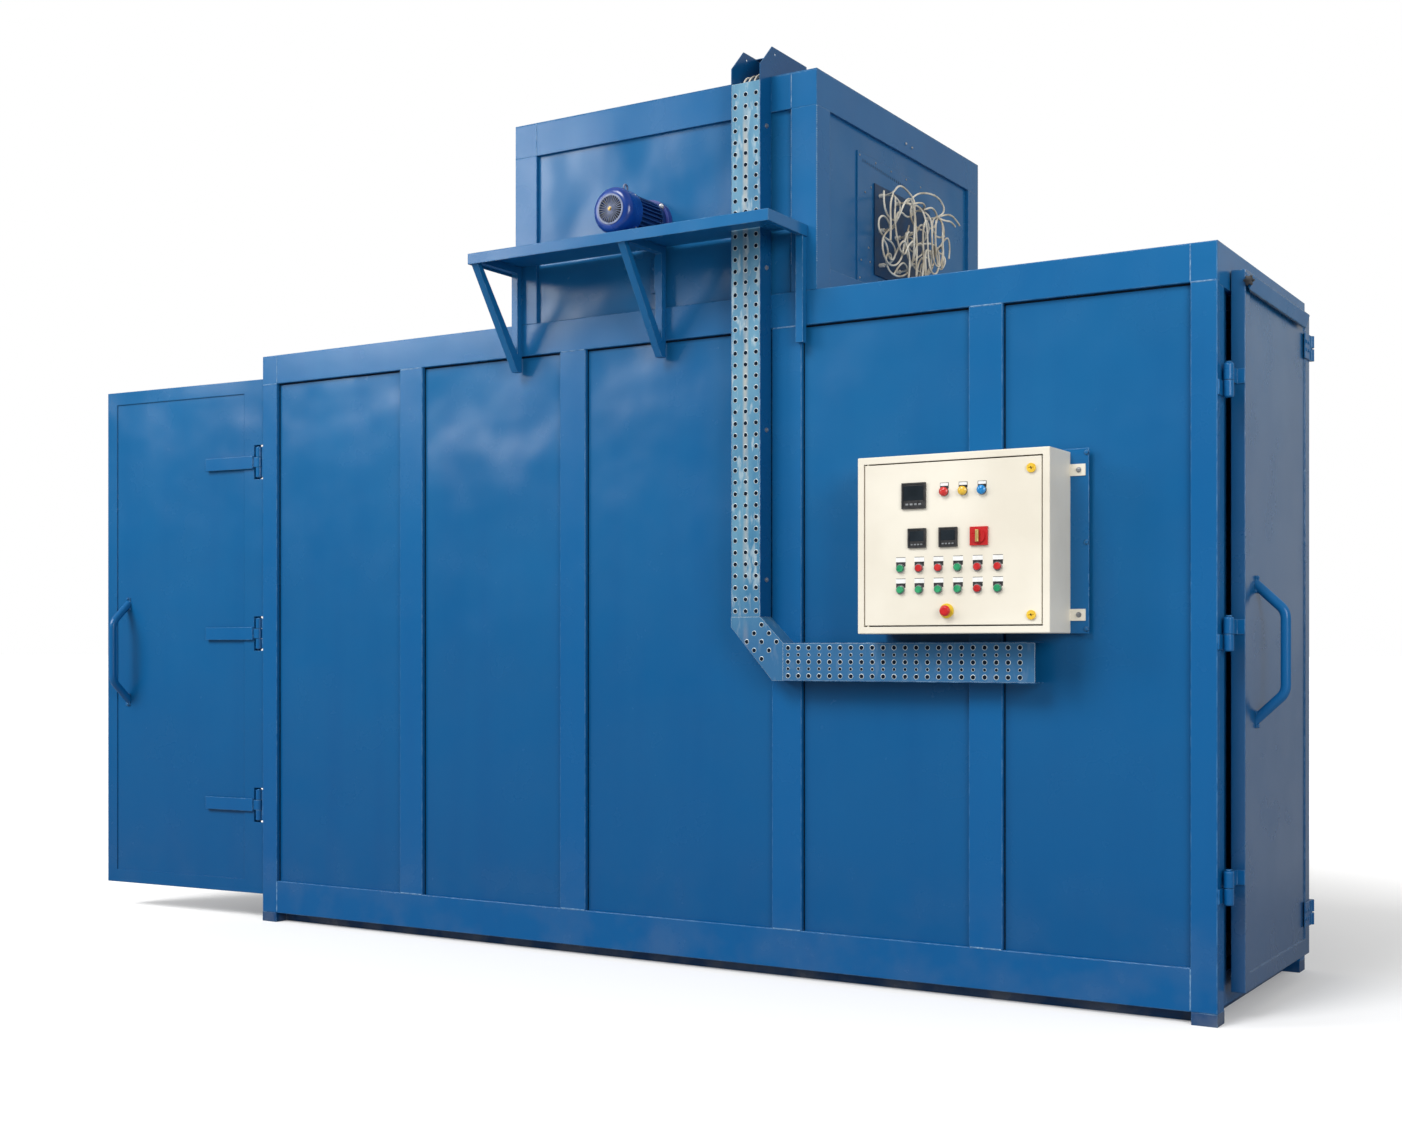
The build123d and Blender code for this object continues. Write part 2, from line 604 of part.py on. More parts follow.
def motor_body():
    """A finned motor housing on two feet, with a plain ring at the flange end."""
    back = FRONT - FLANGE_THICKNESS
    body = along_y(MOTOR_X, MOTOR_Z, MOTOR_CORE_RADIUS, (COWL_BACK, back))
    reach = MOTOR_FIN_RADIUS - MOTOR_CORE_RADIUS / 2
    middle = (COWL_BACK + back - END_BELL_LENGTH) / 2
    for i in range(MOTOR_FIN_COUNT):
        angle = 360 / MOTOR_FIN_COUNT * (i + 0.5)
        fin = Pos(0, 0, MOTOR_CORE_RADIUS / 2 + reach / 2) * Box(
            MOTOR_FIN_THICKNESS, back - COWL_BACK - END_BELL_LENGTH, reach)
        body += Pos(MOTOR_X, middle, MOTOR_Z) * Rot(0, angle, 0) * fin
    body += along_y(MOTOR_X, MOTOR_Z, MOTOR_FIN_RADIUS, (back - END_BELL_LENGTH, back))
    body += upright((MOTOR_X, EYE_BOSS_Y), EYE_BOSS_RADIUS, (MOTOR_Z + MOTOR_CORE_RADIUS / 2, EYE_BOSS_TOP))
    foot_front = COWL_BACK + END_BELL_LENGTH / 2
    foot_back = back - END_BELL_LENGTH - FOOT_THICKNESS
    for side in (-1, 1):
        inner = MOTOR_X + side * MOTOR_FOOT_INNER
        outer = MOTOR_X + side * MOTOR_FOOT_OUTER
        body += block(sorted((inner, outer)), (foot_front, foot_back), (SHELF_TOP, SHELF_TOP + FOOT_THICKNESS))
        body += block(
            sorted((inner, inner + side * FOOT_THICKNESS)), (foot_front, foot_back), (SHELF_TOP, MOTOR_Z))
    return body


def motor_end_bell():
    """The round cover behind the fan, bored for the shaft."""
    front = COWL_BACK - END_BELL_LENGTH
    bell = along_y(MOTOR_X, MOTOR_Z, COWL_RADIUS - COWL_SHEET - SEAT_GAP, (front, COWL_BACK))
    bore = SHAFT_RADIUS + RUNNING_CLEARANCE
    return bell - along_y(MOTOR_X, MOTOR_Z, bore, (front - 1, front + SHAFT_INSERT + 1))


def motor_flange():
    return along_y(MOTOR_X, MOTOR_Z, FLANGE_RADIUS, (FRONT - FLANGE_THICKNESS, FRONT + PLENUM_PROUD))


def motor_fan_cowl():
    """A spun fan cover with a round front edge and a round window."""
    flat = COWL_RADIUS - COWL_ROUND
    outline = Polyline((COWL_WINDOW_RADIUS, 0), (flat, 0))
    turn = CenterArc((flat, COWL_ROUND), COWL_ROUND, -90, 90)
    side = Polyline(
        (COWL_RADIUS, COWL_ROUND), (COWL_RADIUS, COWL_DEPTH), (COWL_RADIUS - COWL_SHEET, COWL_DEPTH),
        (COWL_RADIUS - COWL_SHEET, COWL_ROUND))
    inner_turn = CenterArc((flat, COWL_ROUND), COWL_ROUND - COWL_SHEET, -90, 90)
    inner = Polyline((flat, COWL_SHEET), (COWL_WINDOW_RADIUS, COWL_SHEET), (COWL_WINDOW_RADIUS, 0))
    face = make_face([outline, turn, side, inner_turn, inner])
    return Pos(MOTOR_X, COWL_FRONT, MOTOR_Z) * revolve(Plane.XY * face, Axis.Y, 360)


def motor_fan_grille():
    """A ring of radial wires round a hub, set on the front of the cowl."""
    y = (COWL_FRONT - GRILLE_SHEET, COWL_FRONT)
    inner = GRILLE_RADIUS - GRILLE_RING
    grille = along_y(MOTOR_X, MOTOR_Z, GRILLE_RADIUS, y) - along_y(MOTOR_X, MOTOR_Z, inner, y)
    grille += along_y(MOTOR_X, MOTOR_Z, GRILLE_HUB, (y[0] - GRILLE_HUB_PROUD, y[1]))
    reach = inner + GRILLE_RING / 2
    spoke = Pos(0, 0, reach / 2) * Box(GRILLE_SPOKE_WIDTH, GRILLE_SHEET, reach)
    middle = (y[0] + y[1]) / 2
    for i in range(GRILLE_SPOKES):
        grille += Pos(MOTOR_X, middle, MOTOR_Z) * Rot(0, 360 / GRILLE_SPOKES * i, 0) * spoke
    return grille


def motor_fan():
    """The cooling fan and its shaft stub, which runs in the motor's end bell."""
    front = COWL_FRONT + COWL_SHEET + FAN_TO_GRILLE
    bell = COWL_BACK - END_BELL_LENGTH
    fan = along_y(MOTOR_X, MOTOR_Z, FAN_HUB_RADIUS, (front, front + FAN_WIDTH))
    for i in range(FAN_BLADES):
        blade = Pos(0, 0, (FAN_RADIUS + SHAFT_RADIUS) / 2) * Box(
            FAN_BLADE_THICKNESS, FAN_WIDTH, FAN_RADIUS - SHAFT_RADIUS)
        fan += Pos(MOTOR_X, front + FAN_WIDTH / 2, MOTOR_Z) * Rot(0, 360 / FAN_BLADES * i, 0) * blade
    fan += along_y(MOTOR_X, MOTOR_Z, SHAFT_RADIUS, (front, bell + SHAFT_INSERT))
    return fan


def motor_eye_bolt():
    """A lifting eye that stands on the boss on top of the motor housing."""
    place = (MOTOR_X, EYE_BOSS_Y)
    collar = upright(place, EYE_BOSS_RADIUS, (EYE_BOSS_TOP, EYE_BOSS_TOP + EYE_COLLAR))
    middle = EYE_BOSS_TOP + EYE_COLLAR + EYE_RING_RADIUS
    ring = Pos(MOTOR_X, EYE_BOSS_Y, middle) * Rot(0, 90, 0) * Torus(EYE_RING_RADIUS, EYE_WIRE_RADIUS)
    return collar + ring


# Cable tray

def tray_vertical():
    """The side plates of the upright run, which turn back over the plenum's roof."""
    outline = [
        (TRAY_FRONT, TRAY_UPRIGHT_BOTTOM), (TRAY_FRONT, EAR_BASE), (TRAY_FRONT + EAR_RISE, OVERHEAD_TOP),
        (OVERHEAD_END, OVERHEAD_TOP), (OVERHEAD_END, PLENUM_TOP), (FRONT, PLENUM_TOP),
        (FRONT, TRAY_UPRIGHT_BOTTOM)]
    hole_y = TRAY_FRONT + EAR_RISE + EAR_HOLE_DROP
    hole = Pos(TRAY_LEFT, hole_y, OVERHEAD_TOP - EAR_HOLE_DROP) * Rot(0, 90, 0) * Cylinder(
        EAR_HOLE_RADIUS, 3 * TRAY_WIDTH)
    left = profile_yz(outline, (TRAY_LEFT, TRAY_LEFT + TRAY_SHEET))
    right = profile_yz(outline, (TRAY_RIGHT - TRAY_SHEET, TRAY_RIGHT))
    cover = block(
        (TRAY_LEFT + TRAY_SHEET, TRAY_RIGHT - TRAY_SHEET),
        (TRAY_FRONT + EAR_RISE + OVERHEAD_MOUTH, OVERHEAD_END), (OVERHEAD_TOP - TRAY_SHEET, OVERHEAD_TOP))
    return left + right + cover - hole


def tray_cover_upright():
    """The perforated web between the side plates of the upright run."""
    x = (TRAY_LEFT + TRAY_SHEET, TRAY_RIGHT - TRAY_SHEET)
    web = block(x, (TRAY_FRONT, TRAY_FRONT + TRAY_SHEET), (TRAY_UPRIGHT_BOTTOM, TRAY_WEB_TOP))
    middle = (TRAY_LEFT + TRAY_RIGHT) / 2
    step_x, step_z = UPRIGHT_PITCH
    rows = int((TRAY_WEB_TOP - TRAY_UPRIGHT_BOTTOM) / step_z)
    holes = []
    for row in range(rows):
        z = TRAY_UPRIGHT_BOTTOM + step_z * (row + 0.5)
        for column in (-1, 0, 1):
            holes.append(perforation(middle + step_x * column, z, PERFORATION_RADIUS))
    return web - holes


def perforation(x, z, radius):
    """The cutter of one round hole through a web of the tray."""
    return along_y(x, z, radius, (TRAY_FRONT - TRAY_SHEET, TRAY_FRONT + 2 * TRAY_SHEET))


def tray_elbow():
    """The mitred corner between the upright and the level run, with three slanted rows of holes."""
    t = TRAY_SHEET
    top = TRAY_UPRIGHT_BOTTOM
    outer_turn = (TRAY_LEFT, top - ELBOW_OUTER_DROP)
    outer_end = (TRAY_LEFT + ELBOW_OUTER_REACH, TRAY_RUN_BOTTOM)
    inner_end = (TRAY_RUN_START, TRAY_RUN_TOP)
    corner = (TRAY_RUN_START, TRAY_RUN_BOTTOM)
    web = profile_xz(
        [(TRAY_LEFT, top), (TRAY_RIGHT, top), inner_end, corner, outer_end, outer_turn],
        (TRAY_FRONT, TRAY_FRONT + t))
    inner_plate = profile_xz(
        [(TRAY_RIGHT - t, top), (TRAY_RIGHT, top), inner_end, (inner_end[0], inner_end[1] - t * math.sqrt(2))],
        (TRAY_FRONT, FRONT))
    outer_plate = profile_xz(
        [(TRAY_LEFT, top), (TRAY_LEFT + t, top), (TRAY_LEFT + t, outer_turn[1] + t / 2),
         (outer_end[0] + t / 2, TRAY_RUN_BOTTOM + t), (corner[0], TRAY_RUN_BOTTOM + t),
         corner, outer_end, outer_turn],
        (TRAY_FRONT, FRONT))
    holes = []
    middle_x = (TRAY_RIGHT + inner_end[0] + outer_turn[0] + outer_end[0]) / 4
    middle_z = (top + inner_end[1] + outer_turn[1] + outer_end[1]) / 4
    step = UPRIGHT_PITCH[0] / math.sqrt(2)
    for row in (-1, 0, 1):
        for along in (-1, 0, 1):
            holes.append(perforation(
                middle_x + step * (row + along), middle_z + step * (row - along), PERFORATION_RADIUS))
    return web - holes + inner_plate + outer_plate


def tray_horizontal():
    """The top and bottom plates of the level run."""
    x = (TRAY_RUN_START, TRAY_RUN_END)
    y = (TRAY_FRONT, FRONT)
    return beside([
        block(x, y, (TRAY_RUN_BOTTOM, TRAY_RUN_BOTTOM + TRAY_SHEET)),
        block(x, y, (TRAY_RUN_TOP - TRAY_SHEET, TRAY_RUN_TOP)),
    ])


def tray_cover_level():
    """The web of the level run, with rows of large and small holes by turns."""
    z = (TRAY_RUN_BOTTOM + TRAY_SHEET, TRAY_RUN_TOP - TRAY_SHEET)
    web = block((TRAY_RUN_START, TRAY_RUN_END), (TRAY_FRONT, TRAY_FRONT + TRAY_SHEET), z)
    middle = (TRAY_RUN_BOTTOM + TRAY_RUN_TOP) / 2
    step_x, step_z = LEVEL_PITCH
    columns = int((TRAY_RUN_END - TRAY_RUN_START) / step_x)
    holes = []
    for column in range(columns):
        x = TRAY_RUN_START + step_x * (column + 0.5)
        for row in (-2, -1, 0, 1, 2):
            radius = PERFORATION_RADIUS if row % 2 == 0 else SMALL_PERFORATION_RADIUS
            holes.append(perforation(x, middle + step_z * row, radius))
    return web - holes


def tray_top_cables():
    """Held cables that come along the plenum's roof and down into the tray."""
    cables = []
    spacing = (TRAY_WIDTH - 2 * TRAY_SHEET) / (TOP_CABLE_COUNT + 1)
    radius = TRAY_DEPTH / 3
    front = FRONT - TRAY_DEPTH / 2
    level = PLENUM_TOP + TOP_CABLE_RADIUS
    for i in range(TOP_CABLE_COUNT):
        x = TRAY_LEFT + TRAY_SHEET + spacing * (i + 1)
        path = FilletPolyline(
            (x, OVERHEAD_END, level), (x, front, level), (x, front, TRAY_WEB_TOP - TRAY_WIDTH), radius=radius)
        section = Plane(path @ 0, z_dir=path % 0) * Circle(TOP_CABLE_RADIUS)
        cables.append(sweep(section, path=path))
    return beside(cables)


# Control cabinet

def cabinet_backing_plate():
    x = (CABINET_LEFT, CABINET_RIGHT + BACKING_PLATE_SIDE)
    z = (CABINET_BOTTOM, CABINET_TOP + BACKING_PLATE_TOP)
    return block(x, (BACKING_FRONT, FRONT), z)


def cabinet_shell():
    """A sheet box with a return frame round its door, hinge pins and two mounting ears."""
    x = (CABINET_LEFT, CABINET_RIGHT)
    y = (CABINET_FRONT, BACKING_FRONT)
    z = (CABINET_BOTTOM, CABINET_TOP)
    t = CABINET_SHEET
    shell = block(x, y, z)
    shell = fillet(shell.edges() - shell.edges().group_by(Axis.Y)[-1], CABINET_ROUND)
    shell -= block(
        (x[0] + t, x[1] - t), (y[0] + CABINET_FRAME_DEPTH, y[1] - t), (z[0] + t, z[1] - t))
    f = CABINET_FRAME
    shell -= block((x[0] + f, x[1] - f), (y[0], y[0] + CABINET_FRAME_DEPTH), (z[0] + f, z[1] - f))
    for pin_z in ((z[0] + f, CABINET_DOOR_BOTTOM + CABINET_PIN_INSERT),
                  (CABINET_DOOR_TOP - CABINET_PIN_INSERT, z[1] - f)):
        shell += upright(CABINET_AXIS, CABINET_PIN_RADIUS, pin_z)
    tab_x = (CABINET_RIGHT, CABINET_RIGHT + TAB_REACH)
    for tab_z in (CABINET_BOTTOM + TAB_FROM_END, CABINET_TOP - TAB_FROM_END - TAB_HEIGHT):
        shell += block(tab_x, (BACKING_FRONT - TAB_SHEET, BACKING_FRONT), (tab_z, tab_z + TAB_HEIGHT))
    return shell


def cabinet_door():
    x = (CABINET_DOOR_LEFT, CABINET_DOOR_RIGHT)
    y = (CABINET_FRONT, CABINET_FRONT + CABINET_DOOR_THICKNESS)
    z = (CABINET_DOOR_BOTTOM, CABINET_DOOR_TOP)
    door = rounded(block(x, y, z), CABINET_DOOR_ROUND, Axis.Y, 0)
    bore = CABINET_PIN_RADIUS + RUNNING_CLEARANCE
    depth = CABINET_PIN_INSERT + KNUCKLE_GAP
    door -= upright(CABINET_AXIS, bore, (z[0] - 1, z[0] + depth))
    door -= upright(CABINET_AXIS, bore, (z[1] - depth, z[1] + 1))
    return door


def on_door(place):
    """Plan x and height z of a spot on the cabinet door."""
    return CABINET_LEFT + place[0], CABINET_BOTTOM + place[1]


def square_on_door(place, side, proud):
    x, z = on_door(place)
    half = side / 2
    return block((x - half, x + half), (CABINET_FRONT - proud, CABINET_FRONT), (z - half, z + half))


def disc_on_door(place, radius, start, proud):
    x, z = on_door(place)
    return along_y(x, z, radius, (CABINET_FRONT - start - proud, CABINET_FRONT - start))


def controller(place, side):
    """A panel instrument whose face is sunk behind a narrow rim."""
    sunk = square_on_door(place, side - 2 * CONTROLLER_RIM, CONTROLLER_PROUD)
    in_front = Pos(0, CONTROLLER_RECESS - CONTROLLER_PROUD, 0)
    return square_on_door(place, side, CONTROLLER_PROUD) - in_front * sunk


def process_controllers():
    units = [controller(BIG_CONTROLLER, BIG_CONTROLLER_SIDE)]
    units += [controller(place, SMALL_CONTROLLER_SIDE) for place in SMALL_CONTROLLERS]
    return beside(units)


def pilot_lamps():
    lamps = []
    for place in LAMPS:
        lens = disc_on_door(place, LAMP_RADIUS, BEZEL_HEIGHT, BUTTON_PROUD)
        lens = rounded(lens, LAMP_DOME, Axis.Y, 0)
        lamps.append(disc_on_door(place, BEZEL_RADIUS, 0, BEZEL_HEIGHT) + lens)
    return beside(lamps)


def button_places():
    for row, height in enumerate(BUTTON_ROWS):
        for column, across in enumerate(BUTTON_COLUMNS):
            yield column, row, (across, height)


def push_buttons(green):
    buttons = []
    for column, row, place in button_places():
        if ((column, row) in GREEN_BUTTONS) == green:
            button = disc_on_door(place, BUTTON_RADIUS, BEZEL_HEIGHT, BUTTON_PROUD)
            buttons.append(chamfer(button.edges().group_by(Axis.Y)[0], BUTTON_EDGE))
    return beside(buttons)


def button_bezels():
    return beside([disc_on_door(p, BEZEL_RADIUS, 0, BEZEL_HEIGHT) for c, r, p in button_places()])


def label_plates():
    plates = []
    for column, row, place in button_places():
        x, z = on_door((place[0], place[1] + LABEL_RISE))
        plates.append(block(
            (x - LABEL_WIDTH / 2, x + LABEL_WIDTH / 2), (CABINET_FRONT - LABEL_SHEET, CABINET_FRONT),
            (z - LABEL_HEIGHT / 2, z + LABEL_HEIGHT / 2)))
    return beside(plates)


def emergency_stop():
    """A domed mushroom head on a stem, over a flat collar."""
    stop = disc_on_door(STOP, STOP_COLLAR_RADIUS, 0, STOP_COLLAR_PROUD)
    stop += disc_on_door(STOP, STOP_STEM_RADIUS, STOP_COLLAR_PROUD, STOP_STEM_LENGTH)
    cap = disc_on_door(STOP, STOP_RADIUS, STOP_COLLAR_PROUD + STOP_STEM_LENGTH, STOP_CAP_HEIGHT)
    return stop + rounded(cap, STOP_CAP_ROUND, Axis.Y, 0)


def main_isolator():
    """A square plate with a round dial and an upright grip."""
    switch = square_on_door(ISOLATOR, ISOLATOR_SIDE, CONTROLLER_PROUD)
    switch += disc_on_door(ISOLATOR, ISOLATOR_DIAL_RADIUS, CONTROLLER_PROUD, ISOLATOR_DIAL_PROUD)
    x, z = on_door(ISOLATOR)
    half_width = ISOLATOR_GRIP[0] / 2
    half_height = ISOLATOR_GRIP[1] / 2
    start = CABINET_FRONT - CONTROLLER_PROUD - ISOLATOR_DIAL_PROUD
    grip = block(
        (x - half_width, x + half_width), (start - ISOLATOR_GRIP_PROUD, start),
        (z - half_height, z + half_height))
    return switch + rounded(grip, half_width / 2, Axis.Y, 0)


def door_locks():
    """Round quarter-turn locks with a level key slot."""
    locks = []
    for place in LOCKS:
        x, z = on_door(place)
        half_height = LOCK_SLOT[0] / 2
        half_width = LOCK_SLOT[1] / 2
        front = CABINET_FRONT - LOCK_PROUD
        slot = block(
            (x - half_width, x + half_width), (front - 1, front + LOCK_SLOT_DEPTH),
            (z - half_height, z + half_height))
        locks.append(disc_on_door(place, LOCK_RADIUS, 0, LOCK_PROUD) - slot)
    return beside(locks)


# Chamber doors

def leaf(x, y, z, outer_side):
    """A framed insulated leaf whose outer face has a shallow sunk panel."""
    outer = x[1] if outer_side > 0 else x[0]
    sunk = sorted((outer, outer - outer_side * LEAF_PANEL_RECESS))
    frame = LEAF_FRAME
    return block(x, y, z) - block(sunk, (y[0] + frame, y[1] - frame), (z[0] + frame, z[1] - frame))


def hinge_heights(bottom, top, from_ends):
    """Three heights: one from each end of a leaf and one half way between them."""
    low = bottom + from_ends[0]
    high = top - from_ends[1]
    return low, (low + high) / 2, high


def right_hinge_heights():
    return hinge_heights(RIGHT_LEAF_BOTTOM, RIGHT_LEAF_TOP, RIGHT_HINGES_FROM_ENDS)


def left_hinge_heights():
    return hinge_heights(LEFT_LEAF_BOTTOM, LEFT_LEAF_TOP, LEFT_HINGES_FROM_ENDS)


def right_door_leaf():
    x = (RIGHT + DOOR_GAP, RIGHT_LEAF_FACE)
    return leaf(x, (RIGHT_LEAF_NEAR, RIGHT_LEAF_FAR), (RIGHT_LEAF_BOTTOM, RIGHT_LEAF_TOP), 1)


def left_door_leaf():
    """The leaf has a cover lip on its hinge edge, notched round the three hinges."""
    x = (LEFT_LEAF_FACE, LEFT - DOOR_GAP)
    z = (LEFT_LEAF_BOTTOM, LEFT_LEAF_TOP)
    panel = leaf(x, (LEFT_LEAF_NEAR, LEFT_LEAF_FAR), z, -1)
    lip_y = (LEFT_AXIS[1] - COVER_LIP_REACH, LEFT_LEAF_NEAR)
    lip = block((x[0], x[0] + COVER_LIP_SHEET), lip_y, z)
    half = LEFT_KNUCKLE_HEIGHT * 1.5 + KNUCKLE_GAP + PIN_HEAD + LIP_NOTCH_MARGIN
    for height in left_hinge_heights():
        notch = (height - half, height + half)
        lip -= block((x[0] - 1, x[0] + COVER_LIP_SHEET + 1), (lip_y[0] - 1, lip_y[1]), notch)
    return swing(panel + lip, LEFT_AXIS, LEFT_OPEN_ANGLE)


def door_handle(spot, outward):
    """A bent tube with slanted legs on two small plates, standing out along X from a face."""
    x, y = spot
    out = x + outward * HANDLE_STAND_OFF
    low = HANDLE_BOTTOM
    high = HANDLE_BOTTOM + HANDLE_SPAN
    inward = -outward * HANDLE_STAND_OFF / 2
    drop = HANDLE_LEG_RISE / 2
    path = FilletPolyline(
        (x + inward, y, low - drop), (out, y, low + HANDLE_LEG_RISE), (out, y, high - HANDLE_LEG_RISE),
        (x + inward, y, high + drop), radius=HANDLE_BEND)
    section = Plane(path @ 0, z_dir=path % 0) * Circle(HANDLE_TUBE_RADIUS)
    tube = sweep(section, path=path)
    behind = sorted((x, x + 2 * inward))
    half_width = HANDLE_FOOT_WIDTH / 2
    handle = tube - block(behind, (y - HANDLE_SPAN, y + HANDLE_SPAN), (low - HANDLE_SPAN, high + HANDLE_SPAN))
    for z in (low, high):
        handle += block(
            sorted((x, x + outward * HANDLE_FOOT_SHEET)), (y - half_width, y + half_width),
            (z - HANDLE_FOOT_HEIGHT / 2, z + HANDLE_FOOT_HEIGHT / 2))
    return handle


def right_door_handle():
    sunk_face = RIGHT_LEAF_FACE - LEAF_PANEL_RECESS
    return door_handle((sunk_face, RIGHT_LEAF_NEAR + RIGHT_HANDLE_FROM_EDGE), 1)


def left_door_handle():
    sunk_face = LEFT_LEAF_FACE + LEAF_PANEL_RECESS
    handle = door_handle((sunk_face, LEFT_LEAF_FAR - LEFT_HANDLE_FROM_FREE_EDGE), -1)
    return swing(handle, LEFT_AXIS, LEFT_OPEN_ANGLE)


def pin_cap(axis, low):
    """The domed head of a hinge pin, standing on a height."""
    cap = upright(axis, HINGE_PIN_RADIUS + PIN_HEAD_LAP, (low, low + PIN_HEAD))
    return rounded(cap, PIN_HEAD * 0.8, Axis.Z, -1)


def right_hinge_door_halves():
    """Upper knuckle, a plate to the leaf and a flange on its near edge."""
    halves = []
    x = RIGHT_AXIS[0]
    t = HINGE_PLATE / 2
    for height in right_hinge_heights():
        z = (height + KNUCKLE_GAP / 2, height + RIGHT_KNUCKLE_HEIGHT)
        half = rounded(upright(RIGHT_AXIS, KNUCKLE_RADIUS, z), KNUCKLE_ROUND, Axis.Z, -1)
        plate_z = (z[0], z[1] - KNUCKLE_ROUND)
        half += block((x - t, x + t), (RIGHT_AXIS[1], RIGHT_LEAF_NEAR), plate_z)
        half += block(
            (RIGHT + DOOR_GAP, RIGHT_LEAF_FACE), (RIGHT_LEAF_NEAR - HINGE_PLATE, RIGHT_LEAF_NEAR), plate_z)
        halves.append(half - upright(RIGHT_AXIS, HINGE_PIN_RADIUS + RUNNING_CLEARANCE, (z[0] - 1, z[1] + 1)))
    return beside(halves)


def right_hinge_post_halves():
    """Lower knuckle with the pin, and a plate flat on the end of the oven."""
    halves = []
    t = HINGE_PLATE / 2
    plate_y = (FRONT + HINGE_PLATE_SET_IN, RIGHT_AXIS[1] + KNUCKLE_RADIUS)
    for height in right_hinge_heights():
        z = (height - RIGHT_KNUCKLE_HEIGHT, height - KNUCKLE_GAP / 2)
        plate_z = (z[0] + KNUCKLE_ROUND, z[1])
        cap_low = height + RIGHT_KNUCKLE_HEIGHT + KNUCKLE_GAP
        half = rounded(upright(RIGHT_AXIS, KNUCKLE_RADIUS, z), KNUCKLE_ROUND, Axis.Z, 0)
        half += block((RIGHT, RIGHT_AXIS[0]), (RIGHT_AXIS[1] - t, RIGHT_AXIS[1] + t), plate_z)
        half += block((RIGHT, RIGHT + HINGE_PLATE), plate_y, plate_z)
        half += upright(RIGHT_AXIS, HINGE_PIN_RADIUS, (z[1] - 1, cap_low))
        halves.append(half + pin_cap(RIGHT_AXIS, cap_low))
    return beside(halves)


def left_hinge_straps():
    """Middle knuckle and a long thick strap flat on the leaf."""
    straps = []
    half_knuckle = LEFT_KNUCKLE_HEIGHT / 2
    face = LEFT_LEAF_FACE
    for height in left_hinge_heights():
        z = (height - half_knuckle, height + half_knuckle)
        plate_z = (height - STRAP_HEIGHT / 2, height + STRAP_HEIGHT / 2)
        strap = block((face - STRAP_THICKNESS, face), (LEFT_LEAF_NEAR, LEFT_AXIS[1] + STRAP_LENGTH), plate_z)
        strap += block((face - HINGE_PLATE, face), (LEFT_AXIS[1], LEFT_LEAF_NEAR), z)
        strap += upright(LEFT_AXIS, KNUCKLE_RADIUS, z)
        strap -= upright(LEFT_AXIS, HINGE_PIN_RADIUS + RUNNING_CLEARANCE, (z[0] - 1, z[1] + 1))
        straps.append(swing(strap, LEFT_AXIS, LEFT_OPEN_ANGLE))
    return beside(straps)


def left_hinge_post_halves():
    """Upper and lower knuckles on one pin, with a plate on the end of the oven."""
    halves = []
    t = HINGE_PLATE / 2
    near = LEFT_KNUCKLE_HEIGHT / 2 + KNUCKLE_GAP
    far = near + LEFT_KNUCKLE_HEIGHT
    plate_y = (FRONT + HINGE_PLATE_SET_IN, LEFT_AXIS[1] + KNUCKLE_RADIUS)
    for height in left_hinge_heights():
        half = upright(LEFT_AXIS, HINGE_PIN_RADIUS, (height - far, height + far))
        half += block((LEFT - HINGE_PLATE, LEFT), plate_y, (height - far, height + far))
        for z in ((height - far, height - near), (height + near, height + far)):
            half += upright(LEFT_AXIS, KNUCKLE_RADIUS, z)
            half += block((LEFT_AXIS[0], LEFT), (LEFT_AXIS[1] - t, LEFT_AXIS[1] + t), z)
        half += pin_cap(LEFT_AXIS, height + far)
        half += upright(LEFT_AXIS, HINGE_PIN_RADIUS + PIN_HEAD_LAP, (height - far - PIN_HEAD, height - far))
        halves.append(half)
    return beside(halves)


def right_door_visor():
    """A folded gutter, open at the top, along the top of the right leaf, with closed ends."""
    top = RIGHT_LEAF_TOP - VISOR_BELOW_TOP
    low = top - VISOR_DROP
    face = RIGHT_LEAF_FACE
    outer = face + VISOR_REACH
    fold = face + VISOR_FOLD
    t = VISOR_SHEET
    inner_low = low + t * VISOR_DROP / VISOR_FOLD
    y = (RIGHT_LEAF_NEAR + VISOR_FROM_EDGES[0], RIGHT_LEAF_FAR - VISOR_FROM_EDGES[1])
    visor = profile_xz(
        [(face, top + VISOR_FLANGE), (face, top), (fold, low), (outer, top), (outer - t, top),
         (fold, inner_low), (face + t, top), (face + t, top + VISOR_FLANGE)], y)
    for end in ((y[0], y[0] + t), (y[1] - t, y[1])):
        visor += profile_xz([(face, top), (fold, low), (outer, top)], end)
    return visor


def right_door_latches():
    """Two barrels past the free edge of the right leaf, each on a plate that the leaf carries."""
    latches = []
    half = LATCH_LENGTH / 2
    centre = (RIGHT_LEAF_FACE + HINGE_PLATE / 2, RIGHT_LEAF_FAR + LATCH_BARREL_BEYOND)
    plate_y = (RIGHT_LEAF_FAR - LATCH_PLATE_LAP, centre[1])
    for height in hinge_heights(RIGHT_LEAF_BOTTOM, RIGHT_LEAF_TOP, LATCHES_FROM_ENDS)[::2]:
        z = (height - half, height + half)
        gap = LATCH_BARREL_GAP / 2
        latch = block((RIGHT_LEAF_FACE, RIGHT_LEAF_FACE + HINGE_PLATE), plate_y, z)
        latch += upright(centre, LATCH_PIN_RADIUS, z)
        latch += upright(centre, LATCH_BARREL_RADIUS, (z[0], height - gap))
        latch += upright(centre, LATCH_BARREL_RADIUS, (height + gap, z[1]))
        latches.append(latch)
    return beside(latches)


